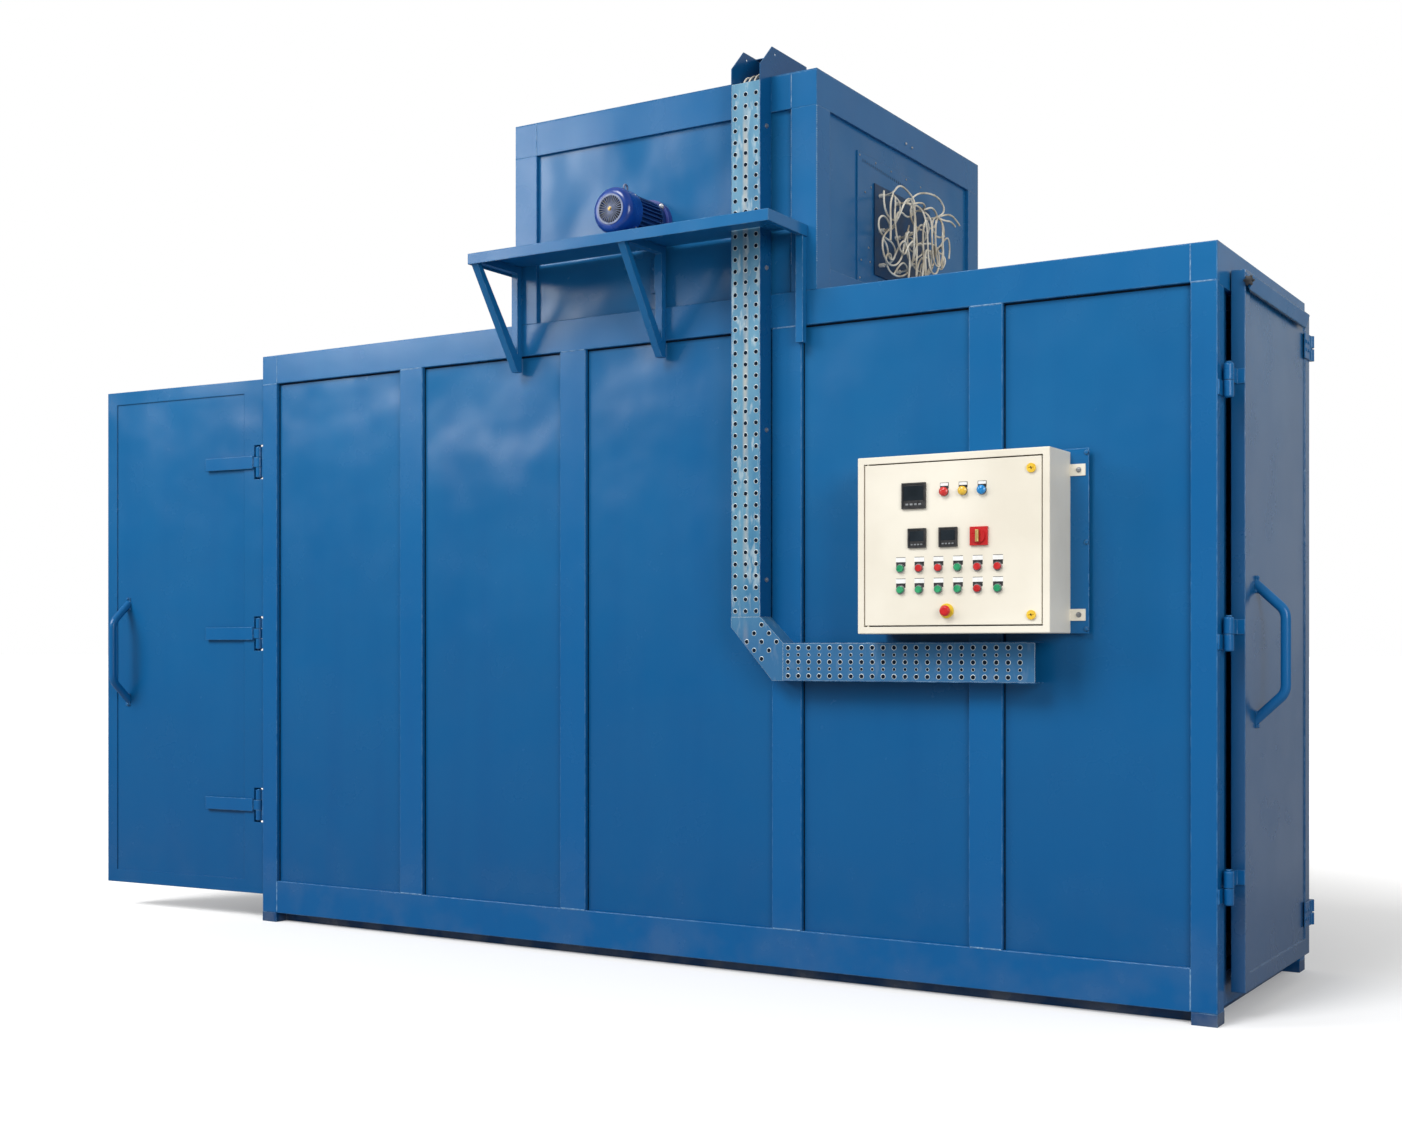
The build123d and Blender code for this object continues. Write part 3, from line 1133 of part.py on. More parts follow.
def all_parts():
    return {
        "base_frame": base_frame(),
        "floor_panel": floor_panel(),
        "front_wall": long_wall((PANEL_FRONT, INSIDE_FRONT)),
        "back_wall": long_wall((INSIDE_BACK, PANEL_BACK)),
        "roof_panel": roof_panel(),
        "corner_strips": corner_strips(),
        "wall_bands": wall_bands(),
        "wall_battens": wall_battens(),
        "door_jambs": door_jambs(),
        "door_lintels": door_lintels(),
        "door_sills": door_sills(),
        "plenum_casing": plenum_casing(),
        "plenum_corner_posts": plenum_corner_posts(),
        "plenum_top_band": plenum_top_band(),
        "plenum_bottom_bands": plenum_bottom_bands(),
        "plenum_roof": plenum_roof(),
        "terminal_plate": terminal_plate(),
        "terminal_board": terminal_board(),
        "heater_terminals": heater_terminals(),
        "heater_wire_bundle": heater_wire_bundle(),
        "motor_shelf": motor_shelf(),
        "shelf_brackets": shelf_brackets(),
        "motor_body": motor_body(),
        "motor_end_bell": motor_end_bell(),
        "motor_flange": motor_flange(),
        "motor_fan_cowl": motor_fan_cowl(),
        "motor_fan_grille": motor_fan_grille(),
        "motor_fan": motor_fan(),
        "motor_eye_bolt": motor_eye_bolt(),
        "tray_vertical": tray_vertical(),
        "tray_cover_upright": tray_cover_upright(),
        "tray_elbow": tray_elbow(),
        "tray_horizontal": tray_horizontal(),
        "tray_cover_level": tray_cover_level(),
        "tray_top_cables": tray_top_cables(),
        "cabinet_backing_plate": cabinet_backing_plate(),
        "cabinet_shell": cabinet_shell(),
        "cabinet_door": cabinet_door(),
        "process_controllers": process_controllers(),
        "pilot_lamps": pilot_lamps(),
        "green_buttons": push_buttons(True),
        "red_buttons": push_buttons(False),
        "button_bezels": button_bezels(),
        "label_plates": label_plates(),
        "emergency_stop": emergency_stop(),
        "main_isolator": main_isolator(),
        "cabinet_door_locks": door_locks(),
        "right_door_leaf": right_door_leaf(),
        "right_door_handle": right_door_handle(),
        "right_hinge_door_halves": right_hinge_door_halves(),
        "right_hinge_post_halves": right_hinge_post_halves(),
        "right_door_visor": right_door_visor(),
        "right_door_latches": right_door_latches(),
        "left_door_leaf": left_door_leaf(),
        "left_door_handle": left_door_handle(),
        "left_hinge_straps": left_hinge_straps(),
        "left_hinge_post_halves": left_hinge_post_halves(),
    }


os.makedirs("parts", exist_ok=True)
for name, shape in all_parts().items():
    export_step(shape, "parts/" + name + ".step")
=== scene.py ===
import bpy
import bmesh
import json
import math
from mathutils import Matrix, Vector


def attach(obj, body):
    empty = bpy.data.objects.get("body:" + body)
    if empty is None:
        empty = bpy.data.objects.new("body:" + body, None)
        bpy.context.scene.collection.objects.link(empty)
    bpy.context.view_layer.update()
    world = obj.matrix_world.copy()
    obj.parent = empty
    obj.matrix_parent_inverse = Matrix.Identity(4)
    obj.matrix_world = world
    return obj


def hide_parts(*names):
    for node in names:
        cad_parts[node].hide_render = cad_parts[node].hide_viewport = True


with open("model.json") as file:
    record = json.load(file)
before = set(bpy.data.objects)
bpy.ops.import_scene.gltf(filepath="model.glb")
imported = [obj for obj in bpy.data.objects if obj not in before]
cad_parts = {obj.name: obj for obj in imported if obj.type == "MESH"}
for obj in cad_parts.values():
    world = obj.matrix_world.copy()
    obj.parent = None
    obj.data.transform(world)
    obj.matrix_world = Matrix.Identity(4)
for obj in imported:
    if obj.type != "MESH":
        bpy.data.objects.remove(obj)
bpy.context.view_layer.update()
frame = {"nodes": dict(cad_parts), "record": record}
nodes = frame["nodes"]


# The view: a level camera off the oven's right front corner, at chest height, with the
# horizon a little below the middle of the picture.
camera_data = bpy.data.cameras.new("view")
camera_data.sensor_fit = "HORIZONTAL"
camera_data.sensor_width = 36
camera_data.lens = 44.84
camera_data.shift_y = 0.0642
camera = bpy.data.objects.new("view", camera_data)
camera.location = (3.980, -6.790, 1.315)
camera.rotation_euler = (math.radians(90), 0, math.radians(31.67))
bpy.context.scene.collection.objects.link(camera)
bpy.context.scene.camera = camera
bpy.context.scene.view_settings.view_transform = "Standard"


# The studio: a floor and backdrop that read as white, a large soft sun from the left front
# and above, an even fill, and for reflections a dim room in front and a pale wall behind.
def add_node(tree, kind, **values):
    """A node of this kind, with its properties and its unlinked sockets set."""
    node = tree.nodes.new(kind)
    for key, value in values.items():
        if hasattr(node, key):
            setattr(node, key, value)
        else:
            node.inputs[key.replace("_", " ")].default_value = value
    return node


def bare_material(name):
    """A new material with an empty tree and its output node."""
    material = bpy.data.materials.new(name)
    material.use_nodes = True
    material.node_tree.nodes.clear()
    return material, material.node_tree, add_node(material.node_tree, "ShaderNodeOutputMaterial")


def ramped(tree, value, low, high, bottom=0.0, top=1.0):
    """Maps a value from low..high to bottom..top, clamped; returns its output socket."""
    node = add_node(tree, "ShaderNodeMapRange", From_Min=low, From_Max=high, To_Min=bottom, To_Max=top)
    tree.links.new(value, node.inputs["Value"])
    return node.outputs[0]


def combined(tree, operation, first, second):
    """A maths node over two values; the second may be a plain number."""
    node = add_node(tree, "ShaderNodeMath", operation=operation)
    tree.links.new(first, node.inputs[0])
    if hasattr(second, "is_linked"):
        tree.links.new(second, node.inputs[1])
    else:
        node.inputs[1].default_value = second
    return node.outputs[0]


def either(tree, factor, first, second):
    """A mix of two shaders; returns its output socket."""
    mix = add_node(tree, "ShaderNodeMixShader")
    tree.links.new(factor, mix.inputs[0])
    tree.links.new(first, mix.inputs[1])
    tree.links.new(second, mix.inputs[2])
    return mix.outputs[0]


world = bpy.data.worlds.new("studio")
bpy.context.scene.world = world
world.use_nodes = True
sky = world.node_tree
sky.nodes.clear()
sky_out = add_node(sky, "ShaderNodeOutputWorld")
sky_rays = add_node(sky, "ShaderNodeLightPath")
sky_way = add_node(sky, "ShaderNodeTexCoord")
sky_axes = add_node(sky, "ShaderNodeSeparateXYZ")
sky.links.new(sky_way.outputs["Generated"], sky_axes.inputs[0])
from_behind = ramped(sky, sky_axes.outputs["Y"], -0.2, 0.8, 0.06, 0.45)
from_above = ramped(sky, sky_axes.outputs["Z"], 0.10, 0.70, 0.0, 0.30)
sky_mirrored = add_node(sky, "ShaderNodeBackground", Color=(0.97, 0.99, 1.0, 1))
sky.links.new(combined(sky, "ADD", from_behind, from_above), sky_mirrored.inputs["Strength"])
sky_seen = add_node(sky, "ShaderNodeBackground", Color=(1, 1, 1, 1), Strength=1.0)
sky_fill = add_node(sky, "ShaderNodeBackground", Color=(1.0, 0.99, 0.97, 1), Strength=0.52)
sky_shader = either(sky, sky_rays.outputs["Is Glossy Ray"], sky_fill.outputs[0],
                    sky_mirrored.outputs[0])
sky_shader = either(sky, sky_rays.outputs["Is Camera Ray"], sky_shader, sky_seen.outputs[0])
sky.links.new(sky_shader, sky_out.inputs["Surface"])

floor_material, tree, out = bare_material("pale_floor")
floor_rays = add_node(tree, "ShaderNodeLightPath")
floor_seen = add_node(tree, "ShaderNodeBsdfDiffuse", Color=(0.80, 0.80, 0.80, 1))
floor_lift = add_node(tree, "ShaderNodeEmission", Color=(1, 1, 1, 1))
# The floor's own glow is weaker near the oven, 0.16 within 2.5 m of the middle rising to 0.45 beyond 5 m:
# painted shade round the oven.
floor_far = add_node(tree, "ShaderNodeVectorMath", operation="LENGTH")
tree.links.new(add_node(tree, "ShaderNodeTexCoord").outputs["Object"], floor_far.inputs[0])
lift_with_painted_shade = ramped(tree, floor_far.outputs["Value"], 2.5, 5.0, 0.16, 0.45)
tree.links.new(lift_with_painted_shade, floor_lift.inputs["Strength"])
floor_sum = add_node(tree, "ShaderNodeAddShader")
tree.links.new(floor_seen.outputs[0], floor_sum.inputs[0])
tree.links.new(floor_lift.outputs[0], floor_sum.inputs[1])
floor_bounce = add_node(tree, "ShaderNodeBsdfDiffuse", Color=(0.34, 0.35, 0.36, 1))
floor_shader = either(tree, floor_rays.outputs["Is Camera Ray"], floor_bounce.outputs[0],
                      floor_sum.outputs[0])
tree.links.new(floor_shader, out.inputs["Surface"])
floor_mesh = bpy.data.meshes.new("studio_floor")
bm = bmesh.new()
bmesh.ops.create_grid(bm, x_segments=1, y_segments=1, size=400)
bm.to_mesh(floor_mesh)
bm.free()
floor = bpy.data.objects.new("studio_floor", floor_mesh)
floor_mesh.materials.append(floor_material)
bpy.context.scene.collection.objects.link(floor)


def aimed_lamp(name, kind, place, aim, power, size):
    """A lamp that faces a point; size is a sun's angle in degrees or a softbox's side in metres."""
    data = bpy.data.lights.new(name, kind)
    data.energy = power
    if kind == "SUN":
        data.angle = math.radians(size)
    else:
        data.size = size
    lamp = bpy.data.objects.new(name, data)
    lamp.location = place
    lamp.rotation_euler = (Vector(aim) - Vector(place)).to_track_quat("-Z", "Y").to_euler()
    bpy.context.scene.collection.objects.link(lamp)


aimed_lamp("key_sun", "SUN", (-3.0, -9.0, 9.0), (0, 0, 0), 1.92, 24)
aimed_lamp("left_softbox", "AREA", (-6.5, -6.5, 5.5), (-0.5, -0.6, 2.2), 300, 3.0)
aimed_lamp("right_softbox", "AREA", (8.6, -6.6, 4.0), (1.5, 0, 2.0), 400, 4.0)


# Heater wires: the loose ends of the heater leads, cream glass-braid sleeve on fine copper,
# that leave the terminal bushes and hang in a rough tangle in front of them.
wire_diameter = 0.0085
# name, what is on its far end, length, and points from the bush outwards
heater_wires = [
    ("01", "bare", 0.386, [
        (0.757, -0.085, 3.245), (0.795, -0.085, 3.245), (0.800, -0.020, 3.225), (0.800, -0.025, 3.165),
        (0.800, -0.085, 3.130), (0.805, -0.155, 3.135), (0.805, -0.195, 3.180), (0.805, -0.190, 3.235)]),
    ("02", "object", 0.637, [
        (0.757, -0.085, 3.245), (0.795, -0.085, 3.245), (0.812, -0.060, 3.290), (0.812, 0.020, 3.285),
        (0.815, 0.095, 3.255), (0.818, 0.085, 3.195), (0.820, 0.010, 3.160), (0.824, -0.060, 3.172),
        (0.836, -0.125, 3.155), (0.832, -0.140, 3.105), (0.800, -0.088, 3.0975), (0.757, -0.085, 3.0975)]),
    ("03", "bare", 0.574, [
        (0.757, -0.085, 3.0975), (0.790, -0.085, 3.0975), (0.795, -0.150, 3.140), (0.795, -0.215, 3.125),
        (0.795, -0.225, 3.070), (0.795, -0.165, 3.045), (0.800, -0.100, 3.040), (0.800, -0.060, 3.005),
        (0.800, -0.090, 2.960), (0.805, -0.150, 2.965), (0.812, -0.170, 3.010), (0.812, -0.215, 3.030)]),
    ("04", "object", 0.697, [
        (0.757, -0.085, 3.0975), (0.800, -0.085, 3.0975), (0.815, -0.150, 3.085), (0.815, -0.225, 3.035),
        (0.820, -0.235, 2.970), (0.820, -0.180, 2.925), (0.822, -0.105, 2.935), (0.825, -0.050, 2.985),
        (0.828, -0.040, 3.055), (0.828, 0.010, 3.110), (0.800, 0.072, 3.0975), (0.757, 0.072, 3.0975)]),
    ("05", "bare", 0.211, [
        (0.757, 0.072, 2.950), (0.795, 0.072, 2.950), (0.805, 0.010, 2.975), (0.805, -0.040, 2.955),
        (0.800, -0.085, 2.905)]),
    ("06", "object", 0.484, [
        (0.757, 0.072, 3.245), (0.795, 0.072, 3.245), (0.812, 0.110, 3.285), (0.812, 0.190, 3.310),
        (0.812, 0.290, 3.325), (0.812, 0.370, 3.320), (0.815, 0.420, 3.280), (0.795, 0.385, 3.245),
        (0.757, 0.385, 3.245)]),
    ("07", "object", 0.533, [
        (0.757, 0.228, 3.245), (0.798, 0.228, 3.245), (0.814, 0.285, 3.270), (0.812, 0.350, 3.235),
        (0.808, 0.300, 3.170), (0.810, 0.190, 3.170), (0.830, 0.110, 3.150), (0.830, 0.072, 3.100),
        (0.757, 0.072, 3.0975)]),
    ("08", "bare", 0.242, [
        (0.757, 0.385, 3.245), (0.790, 0.385, 3.245), (0.800, 0.430, 3.265), (0.805, 0.490, 3.280),
        (0.805, 0.550, 3.275), (0.810, 0.590, 3.250)]),
    ("09", "bare", 0.172, [
        (0.757, 0.385, 3.245), (0.790, 0.385, 3.245), (0.815, 0.425, 3.235), (0.818, 0.475, 3.245),
        (0.818, 0.520, 3.230)]),
    ("10", "bare", 0.244, [
        (0.757, 0.385, 3.0975), (0.790, 0.385, 3.0975), (0.800, 0.430, 3.150), (0.800, 0.485, 3.180),
        (0.800, 0.505, 3.125), (0.800, 0.490, 3.080)]),
    ("11", "bare", 0.453, [
        (0.757, 0.385, 3.0975), (0.795, 0.385, 3.0975), (0.808, 0.420, 3.150), (0.810, 0.410, 3.215),
        (0.812, 0.345, 3.240), (0.815, 0.280, 3.215), (0.817, 0.270, 3.160), (0.820, 0.330, 3.135),
        (0.822, 0.390, 3.160)]),
    ("12", "object", 0.654, [
        (0.757, 0.072, 3.0975), (0.795, 0.072, 3.0975), (0.812, 0.015, 3.110), (0.812, -0.010, 3.050),
        (0.815, 0.030, 2.990), (0.818, 0.100, 2.955), (0.820, 0.185, 2.950), (0.822, 0.260, 2.985),
        (0.824, 0.285, 3.050), (0.824, 0.275, 3.105), (0.800, 0.228, 3.0975), (0.757, 0.228, 3.0975)]),
    ("13", "bare", 0.351, [
        (0.757, 0.072, 3.0975), (0.788, 0.072, 3.0975), (0.795, 0.125, 3.135), (0.798, 0.160, 3.085),
        (0.800, 0.115, 3.035), (0.803, 0.055, 3.040), (0.806, 0.030, 3.090), (0.806, 0.055, 3.140)]),
    ("14", "bare", 0.178, [
        (0.757, 0.072, 2.950), (0.790, 0.072, 2.950), (0.800, 0.105, 2.995), (0.803, 0.155, 2.975),
        (0.805, 0.155, 2.915)]),
    ("15", "bare", 0.184, [
        (0.757, 0.228, 2.950), (0.795, 0.228, 2.950), (0.815, 0.200, 3.000), (0.815, 0.155, 2.995),
        (0.815, 0.140, 2.935)]),
    ("16", "bare", 0.326, [
        (0.757, 0.228, 3.0975), (0.792, 0.228, 3.0975), (0.806, 0.200, 3.045), (0.808, 0.130, 3.015),
        (0.810, 0.070, 2.985), (0.812, 0.035, 2.935), (0.812, 0.030, 2.895)]),
    ("17", "object", 0.554, [
        (0.757, 0.228, 3.245), (0.800, 0.228, 3.245), (0.822, 0.180, 3.260), (0.824, 0.095, 3.245),
        (0.827, 0.025, 3.215), (0.828, 0.025, 3.155), (0.828, 0.095, 3.130), (0.828, 0.180, 3.140),
        (0.800, 0.228, 3.0975), (0.757, 0.228, 3.0975)]),
    ("18", "bare", 0.343, [
        (0.757, 0.228, 2.950), (0.795, 0.228, 2.950), (0.818, 0.275, 2.985), (0.820, 0.240, 3.035),
        (0.820, 0.160, 3.025), (0.822, 0.105, 2.980), (0.822, 0.095, 2.920)]),
    ("19", "object", 0.461, [
        (0.757, -0.085, 2.950), (0.790, -0.085, 2.950), (0.806, -0.125, 2.990), (0.808, -0.185, 2.965),
        (0.810, -0.160, 2.905), (0.812, -0.075, 2.895), (0.812, 0.000, 2.915), (0.800, 0.072, 2.950),
        (0.757, 0.072, 2.950)]),
    ("20", "bare", 0.327, [
        (0.757, -0.085, 2.950), (0.790, -0.085, 2.950), (0.822, -0.100, 3.000), (0.836, -0.060, 3.060),
        (0.836, -0.010, 3.010), (0.836, 0.000, 2.950), (0.836, -0.015, 2.895)]),
    ("21", "object", 0.588, [
        (0.757, -0.085, 3.245), (0.795, -0.085, 3.245), (0.832, -0.130, 3.215), (0.838, -0.160, 3.120),
        (0.838, -0.120, 3.010), (0.838, -0.060, 2.980), (0.838, -0.020, 3.040), (0.836, 0.035, 3.065),
        (0.812, 0.070, 3.092), (0.757, 0.072, 3.0975)]),
    ("22", "bare", 0.404, [
        (0.757, 0.072, 3.245), (0.790, 0.072, 3.245), (0.830, 0.060, 3.210), (0.840, 0.050, 3.130),
        (0.840, 0.065, 3.030), (0.840, 0.050, 2.950), (0.840, 0.060, 2.890)]),
    ("23", "bare", 0.417, [
        (0.757, 0.228, 3.0975), (0.790, 0.228, 3.0975), (0.832, 0.215, 3.150), (0.842, 0.150, 3.190),
        (0.842, 0.115, 3.120), (0.842, 0.125, 3.020), (0.842, 0.145, 2.935)]),
    ("24", "object", 0.662, [
        (0.757, 0.072, 3.245), (0.792, 0.072, 3.245), (0.834, 0.130, 3.230), (0.844, 0.160, 3.150),
        (0.844, 0.165, 3.040), (0.844, 0.190, 2.960), (0.844, 0.260, 2.960), (0.844, 0.295, 3.030),
        (0.840, 0.270, 3.095), (0.802, 0.230, 3.100), (0.757, 0.228, 3.0975)]),
    ("25", "bare", 0.328, [
        (0.757, 0.228, 2.950), (0.788, 0.228, 2.950), (0.828, 0.235, 2.990), (0.838, 0.220, 3.050),
        (0.838, 0.155, 3.060), (0.838, 0.150, 2.985), (0.838, 0.175, 2.925)]),
    ("26", "object", 0.553, [
        (0.757, 0.228, 3.245), (0.792, 0.228, 3.245), (0.836, 0.225, 3.200), (0.846, 0.205, 3.110),
        (0.846, 0.215, 3.010), (0.846, 0.285, 2.990), (0.846, 0.320, 3.060), (0.830, 0.350, 3.110),
        (0.795, 0.385, 3.0975), (0.757, 0.385, 3.0975)]),
    ("27", "bare", 0.311, [
        (0.757, 0.385, 3.245), (0.792, 0.385, 3.245), (0.834, 0.350, 3.210), (0.844, 0.320, 3.130),
        (0.844, 0.335, 3.040), (0.844, 0.310, 3.000)]),
    ("28", "bare", 0.412, [
        (0.757, 0.385, 3.0975), (0.792, 0.385, 3.0975), (0.834, 0.380, 3.060), (0.840, 0.345, 3.010),
        (0.840, 0.290, 2.985), (0.840, 0.262, 3.060), (0.840, 0.250, 3.140), (0.840, 0.262, 3.200)]),
    ("29", "object", 0.574, [
        (0.757, -0.085, 3.0975), (0.792, -0.085, 3.0975), (0.836, -0.100, 3.150), (0.846, -0.070, 3.215),
        (0.846, -0.010, 3.240), (0.846, 0.030, 3.180), (0.846, 0.020, 3.080), (0.830, 0.050, 2.990),
        (0.795, 0.072, 2.950), (0.757, 0.072, 2.950)]),
    ("30", "bare", 0.331, [
        (0.757, -0.085, 3.245), (0.790, -0.085, 3.245), (0.830, -0.150, 3.235), (0.840, -0.205, 3.170),
        (0.840, -0.195, 3.090), (0.840, -0.200, 3.020)]),
    ("31", "bare", 0.360, [
        (0.757, 0.072, 2.950), (0.790, 0.072, 2.950), (0.828, 0.055, 2.990), (0.846, 0.045, 3.055),
        (0.846, 0.110, 3.070), (0.846, 0.120, 2.990), (0.846, 0.100, 2.905)]),
]


def cord_curve(name, points, diameter, material):
    """One open smooth spline through given points, swept to a round section."""
    data = bpy.data.curves.new(name, "CURVE")
    data.dimensions = "3D"
    spline = data.splines.new("NURBS")
    spline.points.add(len(points) - 1)
    for point, place in zip(spline.points, points):
        point.co = (*place, 1)
    spline.order_u = 3
    spline.use_endpoint_u = True
    spline.resolution_u = 6
    data.bevel_depth = diameter / 2
    data.bevel_resolution = 2
    data.use_fill_caps = True
    data.materials.append(material)
    piece = bpy.data.objects.new(name, data)
    bpy.context.scene.collection.objects.link(piece)
    return piece


def noise(tree, coordinates, scale, detail=2.0, stretch=(1, 1, 1)):
    """Noise on Object coordinates, stretched along the axes."""
    mapping = add_node(tree, "ShaderNodeMapping")
    mapping.inputs["Scale"].default_value = stretch
    texture = add_node(tree, "ShaderNodeTexNoise", Scale=scale, Detail=detail)
    tree.links.new(coordinates, mapping.inputs["Vector"])
    tree.links.new(mapping.outputs[0], texture.inputs["Vector"])
    return texture.outputs["Fac"]


def bump(tree, height, strength, distance, normal=None):
    """A bump node over an optional earlier normal; returns its Normal socket."""
    node = add_node(tree, "ShaderNodeBump", Strength=strength, Distance=distance)
    tree.links.new(height, node.inputs["Height"])
    if normal is not None:
        tree.links.new(normal, node.inputs["Normal"])
    return node.outputs["Normal"]


def mix_colour(tree, factor, first, second, blend="MIX"):
    """A colour mix whose ends are sockets or plain colours; returns its output socket."""
    mix = tree.nodes.new("ShaderNodeMix")
    mix.data_type = "RGBA"
    mix.blend_type = blend
    for socket, value in ((mix.inputs[0], factor), (mix.inputs[6], first), (mix.inputs[7], second)):
        if hasattr(value, "is_linked"):
            tree.links.new(value, socket)
        else:
            socket.default_value = value
    return mix.outputs[2]


def sleeve(name, stained, clean, rough, patches, stain_range, weave, weave_bump):
    """A cord's covering: stained in patches, with the fine bump of its braid or skin."""
    material, tree, out = bare_material(name)
    shader = add_node(tree, "ShaderNodeBsdfPrincipled", Roughness=rough)
    spot = add_node(tree, "ShaderNodeTexCoord").outputs["Object"]
    stain = ramped(tree, noise(tree, spot, patches, 3.0), *stain_range)
    colour = mix_colour(tree, stain, (*stained, 1), (*clean, 1))
    tree.links.new(colour, shader.inputs["Base Color"])
    skin = bump(tree, noise(tree, spot, weave, 1.0), *weave_bump)
    tree.links.new(skin, shader.inputs["Normal"])
    tree.links.new(shader.outputs[0], out.inputs["Surface"])
    return material


wire_material = sleeve("glass_braid_sleeve", (0.46, 0.39, 0.28), (0.86, 0.80, 0.67), 0.7, 14.0,
                       (0.35, 0.62), 900.0, (0.4, 0.0006))
for number, far_end, length, points in heater_wires:
    wire = cord_curve("heater_wire_" + number, points, wire_diameter, wire_material)
    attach(wire, "housing")
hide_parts("heater_wire_bundle")


# Tray cables: four cream-sheathed cables that come along the covered tray over the plenum roof
# and turn down into the upright. They lie in the tray and show only where they turn.
cable_diameter = 0.008
# name, length, and points from the roof end of the tray to the upright
tray_cables = [
    ("1", 0.502, [
        (0.4248, -0.362, 3.631), (0.4250, -0.480, 3.631), (0.4300, -0.600, 3.634), (0.4320, -0.668, 3.640),
        (0.4290, -0.705, 3.612), (0.4260, -0.707, 3.550), (0.4248, -0.705, 3.457)]),
    ("2", 0.503, [
        (0.4506, -0.362, 3.631), (0.4510, -0.480, 3.631), (0.4590, -0.595, 3.632), (0.4600, -0.662, 3.643),
        (0.4520, -0.703, 3.616), (0.4480, -0.708, 3.550), (0.4506, -0.705, 3.457)]),
    ("3", 0.507, [
        (0.4764, -0.362, 3.631), (0.4760, -0.480, 3.632), (0.4850, -0.600, 3.636), (0.4870, -0.664, 3.646),
        (0.4790, -0.704, 3.618), (0.4740, -0.706, 3.545), (0.4764, -0.705, 3.457)]),
    ("4", 0.499, [
        (0.5022, -0.362, 3.631), (0.5020, -0.480, 3.631), (0.5060, -0.590, 3.633), (0.5070, -0.658, 3.641),
        (0.5010, -0.702, 3.614), (0.4990, -0.707, 3.548), (0.5022, -0.705, 3.457)]),
]
cable_material = sleeve("tray_cable_sheath", (0.46, 0.41, 0.33), (0.80, 0.76, 0.66), 0.55, 22.0,
                        (0.35, 0.65), 300.0, (0.3, 0.0004))
for number, length, points in tray_cables:
    cable = cord_curve("tray_cable_" + number, points, cable_diameter, cable_material)
    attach(cable, "housing")
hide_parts("tray_top_cables")


# Blue shop paint: one gloss enamel brushed over steel sheet, with a painted highlight that makes it
# paler high up, dusty low down, and lighter on the edges, partly rubbed thin and partly a painted
# highlight. Panels, posts, doors and plenum all wear it.
def new_group(name, inputs, outputs):
    """An empty shader node group with named sockets, given as (name, kind, default) rows."""
    group = bpy.data.node_groups.new(name, "ShaderNodeTree")
    kinds = {"float": "NodeSocketFloat", "colour": "NodeSocketColor", "vector": "NodeSocketVector"}
    for label, kind, value in inputs:
        socket = group.interface.new_socket(label, in_out="INPUT", socket_type=kinds[kind])
        socket.default_value = value
    for label, kind in outputs:
        group.interface.new_socket(label, in_out="OUTPUT", socket_type=kinds[kind])
    return group, add_node(group, "NodeGroupInput"), add_node(group, "NodeGroupOutput")


def edge_mask(tree, radius):
    """How far a rounded edge's normal leaves the flat one: bright along outside edges."""
    rounded = add_node(tree, "ShaderNodeBevel", samples=4, Radius=radius)
    flat = add_node(tree, "ShaderNodeNewGeometry")
    turn = add_node(tree, "ShaderNodeVectorMath", operation="DOT_PRODUCT")
    tree.links.new(rounded.outputs[0], turn.inputs[0])
    tree.links.new(flat.outputs["Normal"], turn.inputs[1])
    return ramped(tree, turn.outputs["Value"], 0.995, 0.86), rounded.outputs[0]


paint_group, given, result = new_group(
    "shop_enamel",
    [("Paint", "colour", (0.004, 0.09, 0.26, 1)), ("Painted Highlight", "colour", (0.03, 0.14, 0.33, 1)),
     ("Dents", "float", 1.0), ("Dust", "float", 1.0), ("Edge Wear And Highlight", "float", 1.0)],
    [("Colour", "colour"), ("Roughness", "float"), ("Normal", "vector")])
spot = add_node(paint_group, "ShaderNodeTexCoord").outputs["Object"]
axes = add_node(paint_group, "ShaderNodeSeparateXYZ")
paint_group.links.new(spot, axes.inputs[0])
height = axes.outputs["Z"]
smears = noise(paint_group, spot, 5.0, 5.0)
clouds = ramped(paint_group, noise(paint_group, spot, 1.1, 3.0), 0.30, 0.70, 0.55, 1.0)
# Toward the top the paint is mixed to the paler blue in cloudy patches: a painted highlight where the light
# falls high up.
top_highlight = combined(paint_group, "MULTIPLY", ramped(paint_group, height, 0.3, 2.8), clouds)
colour = mix_colour(paint_group, top_highlight, given.outputs["Paint"], given.outputs["Painted Highlight"])
streaks = ramped(paint_group, noise(paint_group, spot, 9.0, 3.0, (1, 1, 0.08)), 0.45, 0.75, 0.0, 0.16)
streak_tint, dust_grey, rubbed_and_highlight_blue = (0.55, 0.68, 0.85, 1), (0.20, 0.21, 0.22, 1), (0.16, 0.34, 0.56, 1)
colour = mix_colour(paint_group, streaks, colour, streak_tint, "MULTIPLY")
dust_low = combined(paint_group, "MULTIPLY", ramped(paint_group, height, 0.55, 0.04, 0.0, 0.30),
                    ramped(paint_group, smears, 0.42, 0.72))
dust_low = combined(paint_group, "MULTIPLY", dust_low, given.outputs["Dust"])
colour = mix_colour(paint_group, dust_low, colour, dust_grey)
edges, rounded_normal = edge_mask(paint_group, 0.005)
